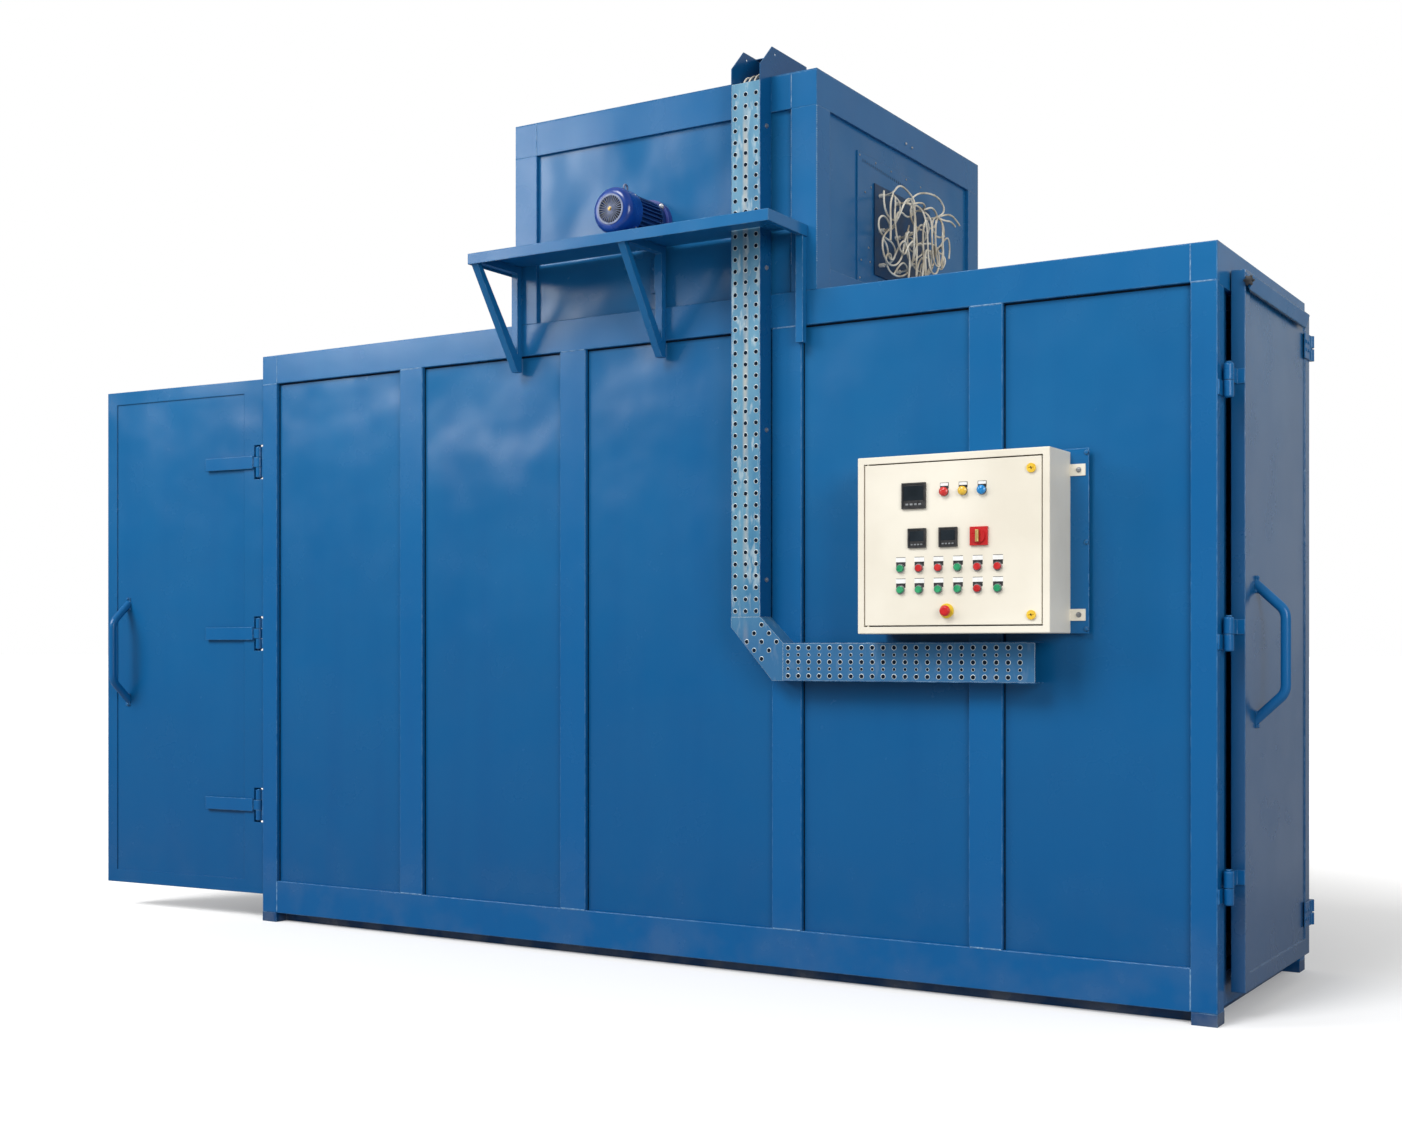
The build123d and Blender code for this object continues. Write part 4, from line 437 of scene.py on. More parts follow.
# Along the outside edges the paint turns a lighter blue in broken patches: partly rubbed paint, partly a
# painted highlight on the edges.
chips = ramped(paint_group, noise(paint_group, spot, 30.0, 4.0), 0.42, 0.66, 0.10, 0.75)
edge_wear_and_highlight = combined(paint_group, "MULTIPLY", combined(paint_group, "MULTIPLY", edges, chips),
                given.outputs["Edge Wear And Highlight"])
colour = mix_colour(paint_group, edge_wear_and_highlight, colour, rubbed_and_highlight_blue)
paint_group.links.new(colour, result.inputs["Colour"])
paint_group.links.new(ramped(paint_group, smears, 0.35, 0.75, 0.22, 0.30), result.inputs["Roughness"])
dents = combined(paint_group, "MULTIPLY", noise(paint_group, spot, 1.9, 1.5),
                 combined(paint_group, "MULTIPLY", given.outputs["Dents"],
                          ramped(paint_group, height, 0.7, 2.7, 0.35, 1.0)))
skin = bump(paint_group, dents, 1.0, 0.045, rounded_normal)
skin = bump(paint_group, noise(paint_group, spot, 260.0, 1.0), 0.22, 0.0004, skin)
paint_group.links.new(skin, result.inputs["Normal"])


def enamel(name, paint, highlight, dents=0.2, dust=1.0, wear=1.0, gloss=0.31):
    """A gloss-painted sheet material made with the shop enamel group."""
    material, tree, out = bare_material(name)
    coat = add_node(tree, "ShaderNodeGroup", node_tree=paint_group)
    amounts = {"Paint": paint, "Painted Highlight": highlight, "Dents": dents, "Dust": dust, "Edge Wear And Highlight": wear}
    for label, value in amounts.items():
        coat.inputs[label].default_value = value
    shader = add_node(tree, "ShaderNodeBsdfPrincipled")
    shader.inputs["Specular IOR Level"].default_value = gloss
    tree.links.new(coat.outputs["Colour"], shader.inputs["Base Color"])
    tree.links.new(coat.outputs["Roughness"], shader.inputs["Roughness"])
    tree.links.new(coat.outputs["Normal"], shader.inputs["Normal"])
    tree.links.new(shader.outputs[0], out.inputs["Surface"])
    return material


def dress(material, *names):
    """Gives CAD nodes a material in every slot."""
    for name in names:
        for slot in nodes[name].material_slots:
            slot.material = material


panel_blue = enamel("panel_blue_enamel", (0.0005, 0.074, 0.218, 1), (0.012, 0.140, 0.335, 1), 1.0,
                    0.2, 0.0)
frame_blue = enamel("frame_blue_enamel", (0.001, 0.083, 0.248, 1), (0.010, 0.138, 0.340, 1), 0.2, 0.4)
door_blue = enamel("door_blue_enamel", (0.004, 0.066, 0.190, 1), (0.010, 0.115, 0.280, 1), 0.02,
                   0.5, 0.6, 0.95)
skid_blue = enamel("skid_blue_enamel", (0.003, 0.045, 0.14, 1), (0.01, 0.06, 0.17, 1), 0.2, 2.0)
dress(panel_blue, "front_wall", "back_wall", "plenum_casing", "left_door_leaf", "terminal_plate")
dress(door_blue, "right_door_leaf")
dress(frame_blue, "corner_strips", "wall_bands", "wall_battens", "door_jambs", "door_lintels",
      "door_sills", "plenum_corner_posts", "plenum_top_band", "plenum_bottom_bands", "motor_shelf",
      "shelf_brackets", "cabinet_backing_plate", "right_door_visor", "right_door_latches",
      "right_hinge_door_halves", "right_hinge_post_halves", "left_hinge_straps",
      "left_hinge_post_halves", "right_door_handle", "left_door_handle", "roof_panel", "plenum_roof")
dress(skid_blue, "base_frame")


# Other finishes: zinc-coated sheet, bare steel, moulded plastics and glazed clay, each with its
# own grain, mottle and fine bump.
def finish(name, dark, light, rough=(0.35, 0.55), metal=0.0, scale=20.0, grain=0.0003, gloss=0.5,
           stretch=(1, 1, 1), wear=None):
    """A material that wanders between two colours, with fine grain and optional worn edges."""
    material, tree, out = bare_material(name)
    shader = add_node(tree, "ShaderNodeBsdfPrincipled", Metallic=metal)
    shader.inputs["Specular IOR Level"].default_value = gloss
    spot = add_node(tree, "ShaderNodeTexCoord").outputs["Object"]
    mottle = ramped(tree, noise(tree, spot, scale, 4.0, stretch), 0.32, 0.68)
    colour = mix_colour(tree, mottle, (*dark, 1), (*light, 1))
    normal = None
    if wear is not None:
        edges, normal = edge_mask(tree, 0.002)
        colour = mix_colour(tree, edges, colour, (*wear, 1))
    tree.links.new(colour, shader.inputs["Base Color"])
    tree.links.new(ramped(tree, mottle, 0.0, 1.0, *rough), shader.inputs["Roughness"])
    fine_bump = bump(tree, noise(tree, spot, 400.0, 1.0), 0.3, grain, normal)
    tree.links.new(fine_bump, shader.inputs["Normal"])
    tree.links.new(shader.outputs[0], out.inputs["Surface"])
    return material


bare_steel = finish("bare_steel", (0.30, 0.31, 0.33), (0.55, 0.56, 0.58), (0.28, 0.45), 0.85)
floor_steel = finish("floor_steel", (0.10, 0.12, 0.16), (0.22, 0.25, 0.30), (0.5, 0.7), 0.2, 4.0)
dress(floor_steel, "floor_panel")


# Fasteners: zinc and painted hex bolts with washers, pan-head screws and round studs, each made
# once as a small mesh and stamped where the joints of the pieces below have one.
def finished(name, bm, material, body="housing", sharp=35):
    """Turns a bmesh into a smooth-shaded piece with sharp creases that rides on a body."""
    mesh = bpy.data.meshes.new(name)
    bm.to_mesh(mesh)
    bm.free()
    for face in mesh.polygons:
        face.use_smooth = True
    mesh.set_sharp_from_angle(angle=math.radians(sharp))
    mesh.materials.append(material)
    piece = bpy.data.objects.new(name, mesh)
    bpy.context.scene.collection.objects.link(piece)
    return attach(piece, body)


def facing(place, outward, turn=0.0):
    """The matrix that sets a small mesh at a place with its own Z outwards."""
    aim = Vector(outward).to_track_quat("Z", "Y").to_matrix().to_4x4()
    return Matrix.Translation(place) @ aim @ Matrix.Rotation(turn, 4, "Z")


def prototype(name, bm):
    """Keeps a bmesh as a plain mesh to be stamped."""
    mesh = bpy.data.meshes.new(name)
    bm.to_mesh(mesh)
    bm.free()
    return mesh


def stamped(name, mesh, places, material, body="housing", sharp=35):
    """One piece made of a small mesh set at each of the place matrices."""
    bm = bmesh.new()
    for place in places:
        first = len(bm.verts)
        bm.from_mesh(mesh)
        bm.verts.ensure_lookup_table()
        bmesh.ops.transform(bm, matrix=place, verts=bm.verts[first:])
    return finished(name, bm, material, body, sharp)


def turned(name, profile, segments=24):
    """A small turned mesh: a profile of (radius, height) points spun round Z."""
    bm = bmesh.new()
    line = [bm.verts.new((radius, 0, level)) for radius, level in profile]
    for start, end in zip(line, line[1:]):
        bm.edges.new((start, end))
    bmesh.ops.spin(bm, geom=bm.verts[:] + bm.edges[:], cent=(0, 0, 0), axis=(0, 0, 1),
                   angle=2 * math.pi, steps=segments, use_merge=True)
    bmesh.ops.remove_doubles(bm, verts=bm.verts[:], dist=1e-5)
    bmesh.ops.recalc_face_normals(bm, faces=bm.faces[:])
    return prototype(name, bm)


def hex_head(name, across, thick):
    """A bevelled hexagon head on a round washer, seated at the origin."""
    bm = bmesh.new()
    bmesh.ops.create_cone(bm, cap_ends=True, segments=20, radius1=across * 0.78, radius2=across * 0.76,
                          depth=thick * 0.3, matrix=Matrix.Translation((0, 0, thick * 0.15)))
    first = len(bm.verts)
    bmesh.ops.create_cone(bm, cap_ends=True, segments=6, radius1=across * 0.577, radius2=across * 0.577,
                          depth=thick, matrix=Matrix.Translation((0, 0, thick * 0.8)))
    bm.verts.ensure_lookup_table()
    rim = [edge for edge in bm.edges if all(v.index >= first and v.co.z > thick for v in edge.verts)]
    bmesh.ops.bevel(bm, geom=rim, offset=across * 0.07, offset_type="OFFSET", segments=2, profile=0.5,
                    affect="EDGES", material=-1)
    return prototype(name, bm)


bolt_m8 = hex_head("bolt_m8", 0.013, 0.0055)
bolt_m12 = hex_head("bolt_m12", 0.019, 0.0075)
pan_screw = turned("pan_screw", [(0.0, 0.0028), (0.0028, 0.0026), (0.0044, 0.0014), (0.0048, 0.0)], 14)
round_stud = turned("round_stud", [(0.0, 0.006), (0.004, 0.0055), (0.006, 0.003), (0.0065, 0.0)], 14)


# Weld beads: strips and bands are seam-welded where they meet. The bead is laid in short runs
# with gaps, as sheet is stitched, at the ends of the bands, battens and strips and up the plenum.
drop = bmesh.new()
bmesh.ops.create_icosphere(drop, subdivisions=2, radius=1.0)
weld_drop = prototype("weld_drop", drop)


def seam(start, end, outward, width=0.0045):
    """Matrices for a stitched row of overlapping squashed drops, a weld bead along a line."""
    start, end = Vector(start), Vector(end)
    steps = max(2, int((end - start).length / (width * 0.9)))
    size = Matrix.Diagonal((width * 0.62, width * 0.62, width * 0.26, 1))
    return [facing(start.lerp(end, (step + 0.5) / steps), outward) @ size for step in range(steps)]


left, right, front, back = -2.315, 2.315, -0.660, 0.660
strip_width = 0.095
batten_centres = (-1.368, -0.454, 0.601, 1.451)
batten_run = 0.062
low_joint, high_joint = 0.200, 2.612
band_low, band_high = 2.616, 2.746
skirt_low, skirt_high = 0.050, 0.196
corner_gap = 0.004
beads = []
for side, outward in ((front, (0, -1, 0)), (back, (0, 1, 0))):
    for x in (left + strip_width, right - strip_width):
        beads += seam((x, side, band_low), (x, side, band_high), outward)
        beads += seam((x, side, skirt_low), (x, side, skirt_high), outward)
    for centre in batten_centres:
        for z in (high_joint, low_joint):
            beads += seam((centre - batten_run, side, z), (centre + batten_run, side, z), outward)
    for start, end in ((left + corner_gap, left + strip_width), (right - strip_width, right - corner_gap)):
        beads += seam((start, side, high_joint), (end, side, high_joint), outward)
plenum_left, plenum_right, post_width = -0.7625, 0.7375, 0.115
plenum_band_low, plenum_band_high = 3.487, 3.623
post_face = front - 0.0005
for x in (plenum_left + post_width, plenum_right - post_width):
    beads += seam((x, post_face, plenum_band_low), (x, post_face, plenum_band_high), (0, -1, 0))
# The beads are coloured a paler blue than the paint: a painted highlight along the seams.
weld_highlight_pale = finish("weld_painted_highlight", (0.02, 0.14, 0.34), (0.20, 0.34, 0.50), (0.3, 0.45), 0.2, 60.0)
stamped("weld_beads", weld_drop, beads, weld_highlight_pale, sharp=180)
post_low, post_high = 2.86, 3.478
post_edge = plenum_right - post_width
beads = seam((post_edge, post_face, post_low), (post_edge, post_face, post_high), (0, -1, 0), 0.004)[::2]
beads += seam((plenum_right, front, post_low), (plenum_right, front, post_high), (0.7, -0.7, 0), 0.005)[::2]
stamped("plenum_corner_welds", weld_drop, beads, weld_highlight_pale, sharp=180)


# Open joints: where a sunk panel meets the strips round it, thin dark strips are laid on the panel
# face: painted shadow of the gap, with old dirt. They are widest under the top band and right of
# the battens.
def tile(bm, place, size):
    """Adds a thin square-edged plate of this size, centred at a place."""
    bmesh.ops.create_cube(bm, size=1.0, matrix=Matrix.Translation(place) @ Matrix.Diagonal((*size, 1)))


joint_shadow_black = finish("painted_joint_shadow", (0.0005, 0.004, 0.012), (0.002, 0.012, 0.030), (0.6, 0.8),
                     gloss=0.15)
panel_face, joint_depth = 0.640, 0.0010
panel_middle, panel_height = 1.406, 2.412
top_gap, left_gap, right_gap = 0.007, 0.005, 0.002
under_band = 2.6085
batten_half = 0.0675
batten_edges = [centre + half for centre in batten_centres for half in (-batten_half, batten_half)]
panel_edges = [left + strip_width] + batten_edges + [right - strip_width]
joints = bmesh.new()
for side in (-1, 1):
    for start, end in zip(panel_edges[::2], panel_edges[1::2]):
        gaps = [((start + end) / 2, under_band, end - start, top_gap),
                (start + left_gap / 2, panel_middle, left_gap, panel_height),
                (end - right_gap / 2, panel_middle, right_gap, panel_height)]
        for x, z, wide, high in gaps:
            tile(joints, (x, side * panel_face, z), (wide, joint_depth, high))
finished("panel_joint_shadow_lines", joints, joint_shadow_black)


# Chamber and door fasteners: bolts through the latch plates and the handle lugs, each riding on
# its own door. Those of the left door are set out on the shut leaf and swung open with it.
latch_face, lug_face = 2.374, 2.3702
latch_bolts = [facing((latch_face, y, z + dz), (1, 0, 0), y * 9 + dz)
               for z in (0.262, 2.535) for y in (0.412, 0.450) for dz in (-0.016, 0.016)]
right_handle_y, left_handle_y = -0.331, 0.237
right_lug_bolts, left_lug_bolts = [], []
for z in (1.067, 1.557):
    for dz in (-0.024, 0.024):
        right_lug_bolts.append(facing((lug_face, right_handle_y, z + dz), (1, 0, 0), z + dz))
        left_lug_bolts.append(facing((-lug_face, left_handle_y, z + dz), (-1, 0, 0), z - dz))
swing = next(joint for joint in frame["record"]["behaviour"]["joints"]
             if joint["name"] == "left_door_swing")
open_angle = 93.6
pivot = Matrix.Translation(swing["pos_m"])
opened = pivot @ Matrix.Rotation(math.radians(open_angle), 4, "Z") @ pivot.inverted()
stamped("left_handle_bolts", bolt_m8, [opened @ place for place in left_lug_bolts], frame_blue,
        "left_door")
stamped("right_latch_bolts", bolt_m8, latch_bolts, frame_blue, "right_door")
stamped("right_handle_bolts", bolt_m8, right_lug_bolts, frame_blue, "right_door")


# Drain gutter knob: a black lobed clamping knob on a short stud at the front end of the gutter
# over the right door.
black_plastic = finish("black_moulding", (0.012, 0.012, 0.013), (0.030, 0.030, 0.032), (0.35, 0.55),
                       scale=60)
lobes, lobe_depth = 6, 0.20
knob = bmesh.new()
bmesh.ops.create_cone(knob, cap_ends=True, segments=30, radius1=0.017, radius2=0.016, depth=0.016,
                      matrix=Matrix.Translation((0, 0, 0.014)))
for vert in knob.verts:
    angle = math.atan2(vert.co.y, vert.co.x)
    vert.co.xy *= 1 + lobe_depth * math.cos(lobes * angle)
level_edges = [edge for edge in knob.edges if abs(edge.verts[0].co.z - edge.verts[1].co.z) < 1e-6]
bmesh.ops.bevel(knob, geom=level_edges, offset=0.002, offset_type="OFFSET", segments=2, profile=0.5,
                affect="EDGES", material=-1)
bmesh.ops.create_cone(knob, cap_ends=True, segments=16, radius1=0.005, radius2=0.005, depth=0.012,
                      matrix=Matrix.Translation((0, 0, 0.002)))
gutter_end = (2.386, -0.499, 2.627)
stamped("gutter_knob", prototype("lobed_knob", knob), [facing(gutter_end, (0, -1, 0))], black_plastic,
        "right_door", 50)


# Cable tray: zinc-coated channel painted blue, with a pierced pale cover whose paint is rubbed
# off along its middle line. Over each punched hole lies a flat dark disc, painted shade of the
# hollow, in a bright rubbed rim.
tray_blue = enamel("tray_side_blue", (0.002, 0.060, 0.180, 1), (0.003, 0.085, 0.235, 1), 0.1, 0.3, 1.5)
tray_face = -0.750
upright_columns = (0.4155, 0.4635, 0.5115)
cover_worn, tree, out = bare_material("tray_cover_worn_zinc")
shader = add_node(tree, "ShaderNodeBsdfPrincipled", Metallic=0.15)
spot = add_node(tree, "ShaderNodeTexCoord").outputs["Object"]
axes = add_node(tree, "ShaderNodeSeparateXYZ")
tree.links.new(spot, axes.inputs[0])
thick_paint, thin_paint = (0.035, 0.172, 0.305, 1), (0.120, 0.295, 0.420, 1)
scuffed_zinc, rubbed_line = (0.44, 0.53, 0.56, 1), (0.50, 0.45, 0.36, 1)
low_blue, edge_bare = (0.012, 0.110, 0.270, 1), (0.55, 0.62, 0.65, 1)
cloud = ramped(tree, noise(tree, spot, 7.0, 6.0, (1.6, 1, 0.5)), 0.30, 0.68)
cover_colour = mix_colour(tree, cloud, thick_paint, thin_paint)
scuff = ramped(tree, noise(tree, spot, 42.0, 6.0, (1, 1, 0.3)), 0.56, 0.66)
cover_colour = mix_colour(tree, combined(tree, "MULTIPLY", scuff, 0.55), cover_colour, scuffed_zinc)
off_middle = combined(tree, "SUBTRACT", axes.outputs["X"], upright_columns[1])
line = combined(tree, "MULTIPLY", ramped(tree, combined(tree, "ABSOLUTE", off_middle, 0.0), 0.016, 0.006),
                ramped(tree, noise(tree, spot, 16.0, 4.0, (1, 1, 0.25)), 0.40, 0.60))
cover_colour = mix_colour(tree, combined(tree, "MULTIPLY", line, 0.65), cover_colour, rubbed_line)
low = ramped(tree, axes.outputs["Z"], 1.62, 1.34)
cover_colour = mix_colour(tree, combined(tree, "MULTIPLY", low, 0.85), cover_colour, low_blue)
edges, normal = edge_mask(tree, 0.0025)
cover_colour = mix_colour(tree, edges, cover_colour, edge_bare)
tree.links.new(cover_colour, shader.inputs["Base Color"])
tree.links.new(ramped(tree, cloud, 0.0, 1.0, 0.55, 0.38), shader.inputs["Roughness"])
tree.links.new(bump(tree, noise(tree, spot, 55.0, 4.0), 0.35, 0.0008, normal), shader.inputs["Normal"])
tree.links.new(shader.outputs[0], out.inputs["Surface"])
dress(tray_blue, "tray_vertical", "tray_horizontal")
dress(cover_worn, "tray_cover_upright", "tray_cover_level", "tray_elbow")
rim = turned("punched_rim", [(0.0082, 0.0003), (0.0088, 0.0008), (0.0104, 0.0001)], 14)
hole_shade = turned("punched_hole_shade", [(0.0, 0.0002), (0.0060, 0.0003), (0.0083, 0.0004)], 14)
small = Matrix.Diagonal((0.70, 0.70, 1, 1))
upright_start, upright_pitch = 1.451, 0.047
level_start, level_middle, level_pitch, row_pitch = 0.634, 1.2725, 0.046, 0.0275
elbow_x, elbow_z, elbow_pitch = 0.53675, 1.35175, 0.03394
holes = []
for row in range(45):
    for x in upright_columns:
        holes.append(facing((x, tray_face, upright_start + upright_pitch * (row + 0.5)), (0, -1, 0)))
for column in range(22):
    for row in range(-2, 3):
        place = facing((level_start + level_pitch * (column + 0.5), tray_face,
                        level_middle + row_pitch * row), (0, -1, 0))
        holes.append(place @ small if row % 2 else place)
for step in (-1, 0, 1):
    for along in (-1, 0, 1):
        holes.append(facing((elbow_x + elbow_pitch * (step + along), tray_face,
                             elbow_z + elbow_pitch * (step - along)), (0, -1, 0)))
rim_worn = finish("punched_rim_bare_zinc", (0.30, 0.40, 0.46), (0.72, 0.76, 0.76), (0.35, 0.5), 0.3,
                  90.0)
stamped("tray_hole_rims", rim, holes, rim_worn, sharp=60)
tray_hole_shade = finish("tray_hole_painted_shade", (0.001, 0.004, 0.010), (0.003, 0.010, 0.024), (0.7, 0.9),
                     gloss=0.1)
stamped("tray_hole_shade_discs", hole_shade, holes, tray_hole_shade, sharp=60)
tray_side, tray_middle_y = 0.531, -0.700
stamped("tray_side_bolts", bolt_m8,
        [facing((tray_side, tray_middle_y, z), (1, 0, 0), z) for z in (1.60, 2.20, 2.85, 3.418)],
        bare_steel)


# Terminal board: a dark blue board on the plenum's side plate, with glazed clay bushes. Its
# dark colour is painted shade, standing for the shaded opening behind the wires.
# The plate is held by pan-head screws and has a row of small vent slots near its top.
clay = finish("glazed_clay_bush", (0.62, 0.57, 0.47), (0.84, 0.80, 0.72), (0.30, 0.45), scale=70.0)
board_shade_dark = finish("terminal_board_painted_shade", (0.001, 0.030, 0.090), (0.003, 0.052, 0.140), (0.40, 0.60),
                    scale=25.0)
dress(board_shade_dark, "terminal_board")
dress(clay, "heater_terminals")
plate_face = 0.7285
plate_screws = [facing((plate_face, y, z), (1, 0, 0)) for y, z in (
    (-0.155, 3.267), (-0.212, 3.235), (-0.098, 3.286), (-0.088, 3.262), (-0.180, 3.008),
    (-0.249, 2.944), (-0.166, 2.951))]
screw_start, screw_pitch = -0.262, 0.151
for step in range(6):
    for z in (3.379, 2.868):
        plate_screws.append(facing((plate_face, screw_start + screw_pitch * step, z), (1, 0, 0)))
stamped("terminal_plate_screws", pan_screw, plate_screws, bare_steel)
slot = bmesh.new()
bmesh.ops.create_circle(slot, cap_ends=True, segments=12, radius=1.0)
bmesh.ops.transform(slot, matrix=Matrix.Diagonal((0.0028, 0.0075, 1, 1)), verts=slot.verts[:])
slot_face = plate_face + 0.0004
slot_start, slot_pitch = -0.232, 0.0192
slot_top, slot_fall = 3.363, 0.00086
slot_places = [facing((slot_face, slot_start + slot_pitch * step, slot_top - slot_fall * step), (1, 0, 0))
               for step in range(22)]
# The vent slots are flat dark shapes on the plate's face: painted shade of the openings.
shadow_black = finish("slot_painted_shade", (0.002, 0.003, 0.005), (0.004, 0.006, 0.010), (0.8, 0.9))
stamped("terminal_plate_slots", prototype("vent_slot", slot), slot_places, shadow_black)
stud_places = [facing((plenum_right, y, z), (1, 0, 0)) for y, z in ((0.169, 3.530), (0.231, 3.527))]
stamped("plenum_side_studs", round_stud, stud_places, bare_steel)


# Circulation motor: a finned motor in royal blue gloss with a violet-blue flange, a pressed cowl
# with a zinc wire guard and a black fan behind it, and a steel eye bolt on top.
motor_gloss = finish("motor_gloss_blue", (0.002, 0.030, 0.200), (0.004, 0.050, 0.290), (0.18, 0.30),
                     scale=16.0, gloss=0.6, wear=(0.10, 0.25, 0.55))
fin_blue = finish("motor_fin_blue", (0.002, 0.020, 0.110), (0.003, 0.034, 0.180), (0.35, 0.5),
                  scale=14.0, wear=(0.06, 0.16, 0.40))
flange_violet = finish("motor_flange_blue", (0.022, 0.035, 0.200), (0.040, 0.060, 0.280), (0.3, 0.45),
                       scale=18.0, wear=(0.14, 0.20, 0.45))
guard_zinc = finish("fan_guard_zinc", (0.10, 0.13, 0.22), (0.22, 0.26, 0.38), (0.35, 0.50), 0.3, 40.0)
brass = finish("worn_brass", (0.42, 0.28, 0.08), (0.66, 0.48, 0.18), (0.25, 0.40), 0.9, 60.0)
dress(motor_gloss, "motor_fan_cowl", "motor_end_bell")
dress(fin_blue, "motor_body")
dress(flange_violet, "motor_flange")
dress(guard_zinc, "motor_fan_grille", "motor_eye_bolt")
dress(black_plastic, "motor_fan")
motor_x, motor_z = -0.050, 3.107
flange_circle, cowl_radius = 0.086, 0.095
guard_front, cowl_middle, flange_face = -0.9625, -0.872, -0.674
hub_cap = turned("hub_cap", [(0.0, 0.0030), (0.006, 0.0028), (0.0085, 0.0016), (0.009, 0.0)], 20)
stamped("fan_guard_hub", hub_cap, [facing((motor_x, guard_front, motor_z), (0, -1, 0))], brass)
flange_bolts, cowl_screws = [], []
for step in range(4):
    turn = math.radians(45 + 90 * step)
    across, up = math.cos(turn), math.sin(turn)
    flange_bolts.append(facing((motor_x + flange_circle * across, flange_face,
                                motor_z + flange_circle * up), (0, -1, 0), turn))
    cowl_screws.append(facing((motor_x + cowl_radius * across, cowl_middle,
                               motor_z + cowl_radius * up), (across, 0, up)))
stamped("motor_flange_bolts", bolt_m12, flange_bolts, bare_steel)
stamped("motor_cowl_screws", pan_screw, cowl_screws, bare_steel)
cleat_x, cleat_face = -0.034, -0.651
stamped("motor_cleat_bolts", bolt_m12,
        [facing((cleat_x, cleat_face, z), (0, -1, 0), z) for z in (2.850, 2.925)], frame_blue)


# Control cabinet: a folded steel enclosure in cream powder coat on a blue backing plate. The
# door carries the controllers, lamps, two rows of push buttons, the isolator and the stop.
cream = finish("cream_powder_coat", (0.700, 0.650, 0.545), (0.780, 0.735, 0.630), (0.42, 0.52),
               scale=3.0, grain=0.0005, wear=(0.84, 0.81, 0.74))
white_plate = finish("label_plate_white", (0.74, 0.74, 0.72), (0.86, 0.86, 0.84), (0.35, 0.5),
                     scale=50.0)
ring_metal = finish("button_ring_bright", (0.45, 0.46, 0.48), (0.70, 0.71, 0.72), (0.2, 0.35), 0.9,
                    60.0)
green_cap = finish("green_button_moulding", (0.010, 0.220, 0.090), (0.030, 0.340, 0.140), (0.25, 0.4),
                   scale=50.0)
red_cap = finish("red_button_moulding", (0.40, 0.010, 0.012), (0.58, 0.020, 0.020), (0.25, 0.4),
                 scale=50.0)
lock_yellow = finish("lock_insert_yellow", (0.70, 0.42, 0.02), (0.84, 0.58, 0.05), (0.3, 0.45), 0.0,
                     50.0)
dress(cream, "cabinet_shell", "cabinet_door")
dress(black_plastic, "process_controllers", "pilot_lamps")
dress(white_plate, "label_plates")
dress(ring_metal, "button_bezels")
dress(green_cap, "green_buttons")
dress(red_cap, "red_buttons")
dress(lock_yellow, "cabinet_door_locks")


def two_part(name, level, behind, ahead, rough=(0.25, 0.4), metal_ahead=0.0):
    """A moulding whose colour changes at a depth in front of the cabinet door."""
    material, tree, out = bare_material(name)
    shader = add_node(tree, "ShaderNodeBsdfPrincipled")
    spot = add_node(tree, "ShaderNodeTexCoord").outputs["Object"]
    axes = add_node(tree, "ShaderNodeSeparateXYZ")
    tree.links.new(spot, axes.inputs[0])
    front_half = combined(tree, "LESS_THAN", axes.outputs["Y"], level)
    mottle = ramped(tree, noise(tree, spot, 60.0, 3.0), 0.3, 0.7)
    colour = mix_colour(tree, front_half, (*behind, 1), (*ahead, 1))
    colour = mix_colour(tree, combined(tree, "MULTIPLY", mottle, 0.3), colour, (0.72, 0.70, 0.66, 1),
                        "MULTIPLY")
    tree.links.new(colour, shader.inputs["Base Color"])
    tree.links.new(ramped(tree, mottle, 0.0, 1.0, *rough), shader.inputs["Roughness"])
    tree.links.new(combined(tree, "MULTIPLY", front_half, metal_ahead), shader.inputs["Metallic"])
    tree.links.new(shader.outputs[0], out.inputs["Surface"])
    return material


def soften(bm, offset, segments):
    """Rounds every edge of a small moulding or plate."""
    bmesh.ops.bevel(bm, geom=bm.edges[:], offset=offset, offset_type="OFFSET", segments=segments,
                    profile=0.5, affect="EDGES", material=-1)


stop_mix = two_part("stop_yellow_and_red", -0.8825, (0.78, 0.55, 0.04), (0.56, 0.012, 0.014))
isolator_mix = two_part("isolator_red_and_brass", -0.8950, (0.52, 0.014, 0.016), (0.55, 0.40, 0.14),
                        metal_ahead=0.4)
dress(stop_mix, "emergency_stop")
dress(isolator_mix, "main_isolator")
lamps = ((1.380, "red", (0.50, 0.02, 0.02), (0.66, 0.05, 0.04)),
         (1.454, "amber", (0.62, 0.36, 0.02), (0.80, 0.52, 0.06)),
         (1.528, "blue", (0.01, 0.17, 0.45), (0.02, 0.27, 0.62)))
lamp_height, lens_seat = 1.899, -0.8908
lens_profile = [(0.0, 0.0062), (0.007, 0.0056), (0.0125, 0.0034), (0.0162, 0.0), (0.0168, -0.009)]
lens = turned("lamp_lens", lens_profile, 24)
for x, hue, dark, light in lamps:
    glow = finish("lamp_lens_" + hue, dark, light, (0.12, 0.22), scale=90.0, gloss=0.6)
    stamped("pilot_lens_" + hue, lens, [facing((x, lens_seat, lamp_height), (0, -1, 0))], glow,
            "cabinet_door")
controllers = ((1.259, 1.889, 0.096), (1.272, 1.732, 0.072), (1.396, 1.732, 0.072))
screen_level, key_level = -0.8842, -0.8845
bezel_loss = 0.016
screens = bmesh.new()
keys = bmesh.new()
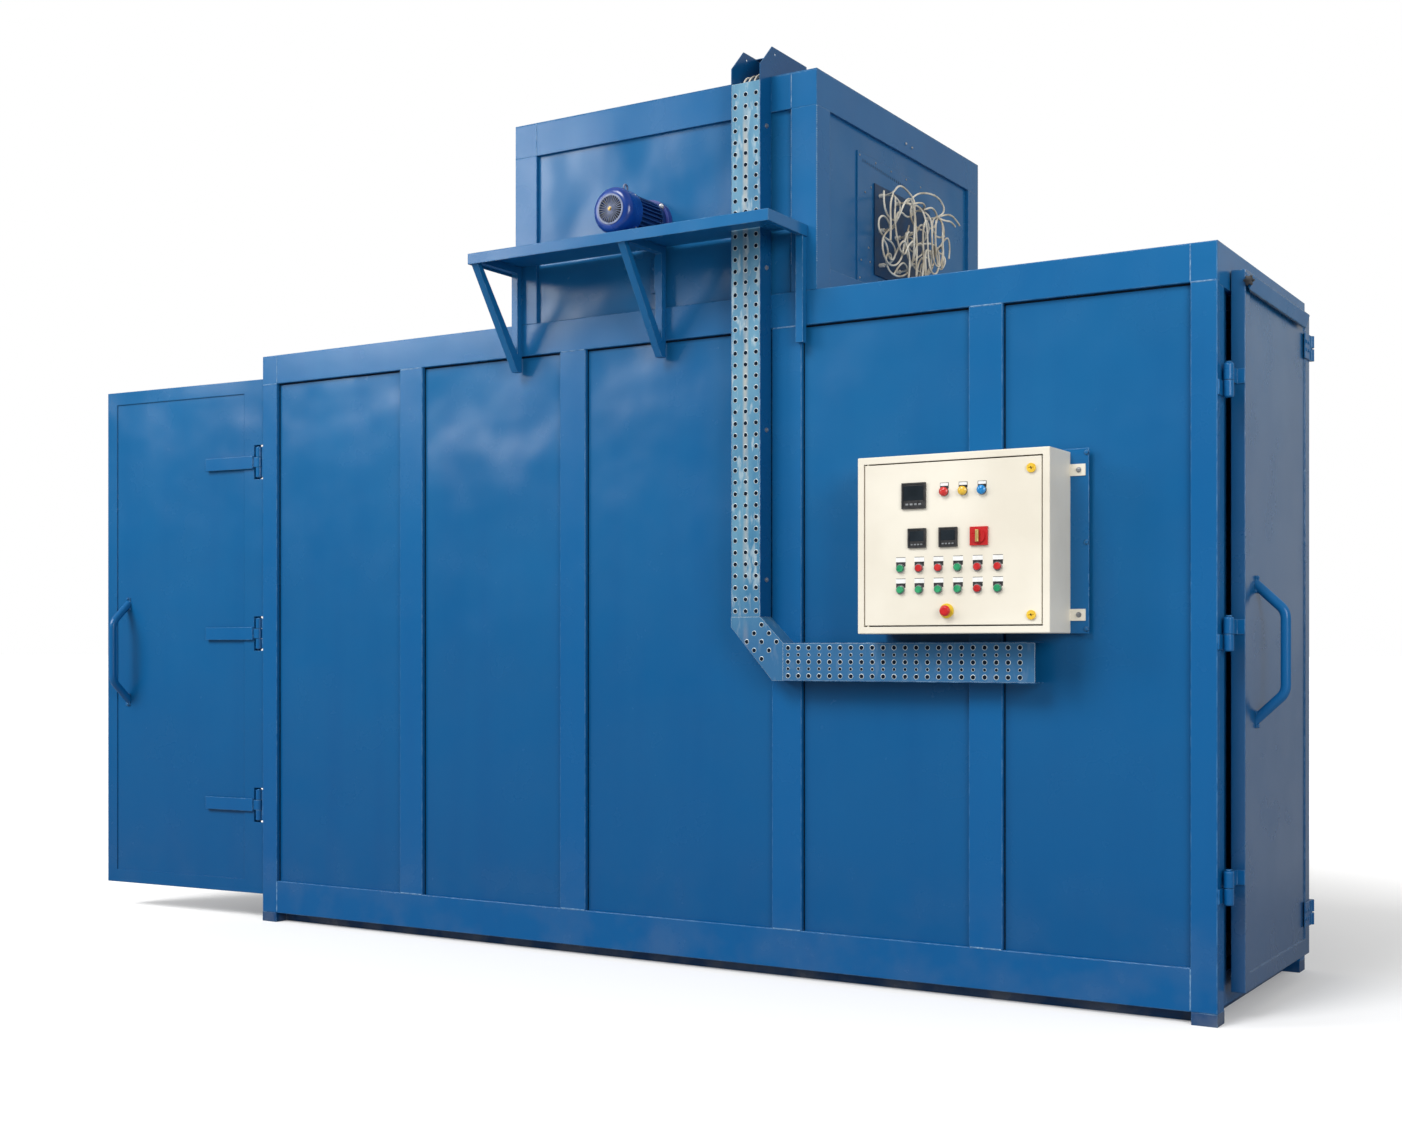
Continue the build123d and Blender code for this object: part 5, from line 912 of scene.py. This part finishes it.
for x, z, side in controllers:
    wide = side - bezel_loss
    tile(screens, (x, screen_level, z + 0.1 * side), (wide, 0.0014, wide * 0.66))
    for step in (-1.5, -0.5, 0.5, 1.5):
        tile(keys, (x + 0.18 * side * step, key_level, z - 0.335 * side),
             (0.12 * side, 0.002, 0.075 * side))
soften(screens, 0.0006, 1)
screen_glass = finish("controller_screen", (0.010, 0.014, 0.018), (0.022, 0.030, 0.038), (0.10, 0.2),
                      scale=8.0)
finished("controller_screens", screens, screen_glass, "cabinet_door")
soften(keys, 0.0008, 2)
key_grey = finish("controller_key_grey", (0.16, 0.17, 0.18), (0.26, 0.27, 0.28), (0.4, 0.55),
                  scale=60.0)
finished("controller_keys", keys, key_grey, "cabinet_door")
button_columns, button_rows = (1.205, 1.280, 1.357, 1.434, 1.511, 1.589), (1.621, 1.542)
holder_level, label_level = -0.8776, -0.8785
holder_lift = 0.025
holders = bmesh.new()
for x in button_columns:
    for z in button_rows:
        tile(holders, (x, holder_level, z + holder_lift), (0.038, 0.0012, 0.034))
lamp_labels = bmesh.new()
for lamp in lamps:
    tile(holders, (lamp[0], holder_level, 1.921), (0.034, 0.0012, 0.022))
    tile(lamp_labels, (lamp[0], label_level, 1.925), (0.030, 0.0010, 0.010))
soften(holders, 0.0005, 1)
finished("label_holders", holders, black_plastic, "cabinet_door")
finished("lamp_labels", lamp_labels, white_plate, "cabinet_door")
# The key slots of the locks are flat dark tiles: painted shade of the openings.
lock_slot = bmesh.new()
tile(lock_slot, (0, 0, 0), (0.003, 0.010, 0.0012))
lock_x, lock_face, lock_turn = 1.716, -0.8842, 0.3
stamped("lock_slots", prototype("lock_slot", lock_slot),
        [facing((lock_x, lock_face, z), (0, -1, 0), lock_turn) for z in (1.444, 1.968)], shadow_black,
        "cabinet_door")
tab_x, tab_face = 1.817, -0.670
stamped("cabinet_tab_bolts", bolt_m8,
        [facing((tab_x, tab_face, z), (0, -1, 0), z) for z in (1.4465, 1.9735)], bare_steel)
plate_edge, backing_face = 1.846, -0.666
stamped("backing_plate_bolts", bolt_m8,
        [facing((plate_edge, backing_face, z), (0, -1, 0), z) for z in (1.395, 1.71, 2.036)], frame_blue)
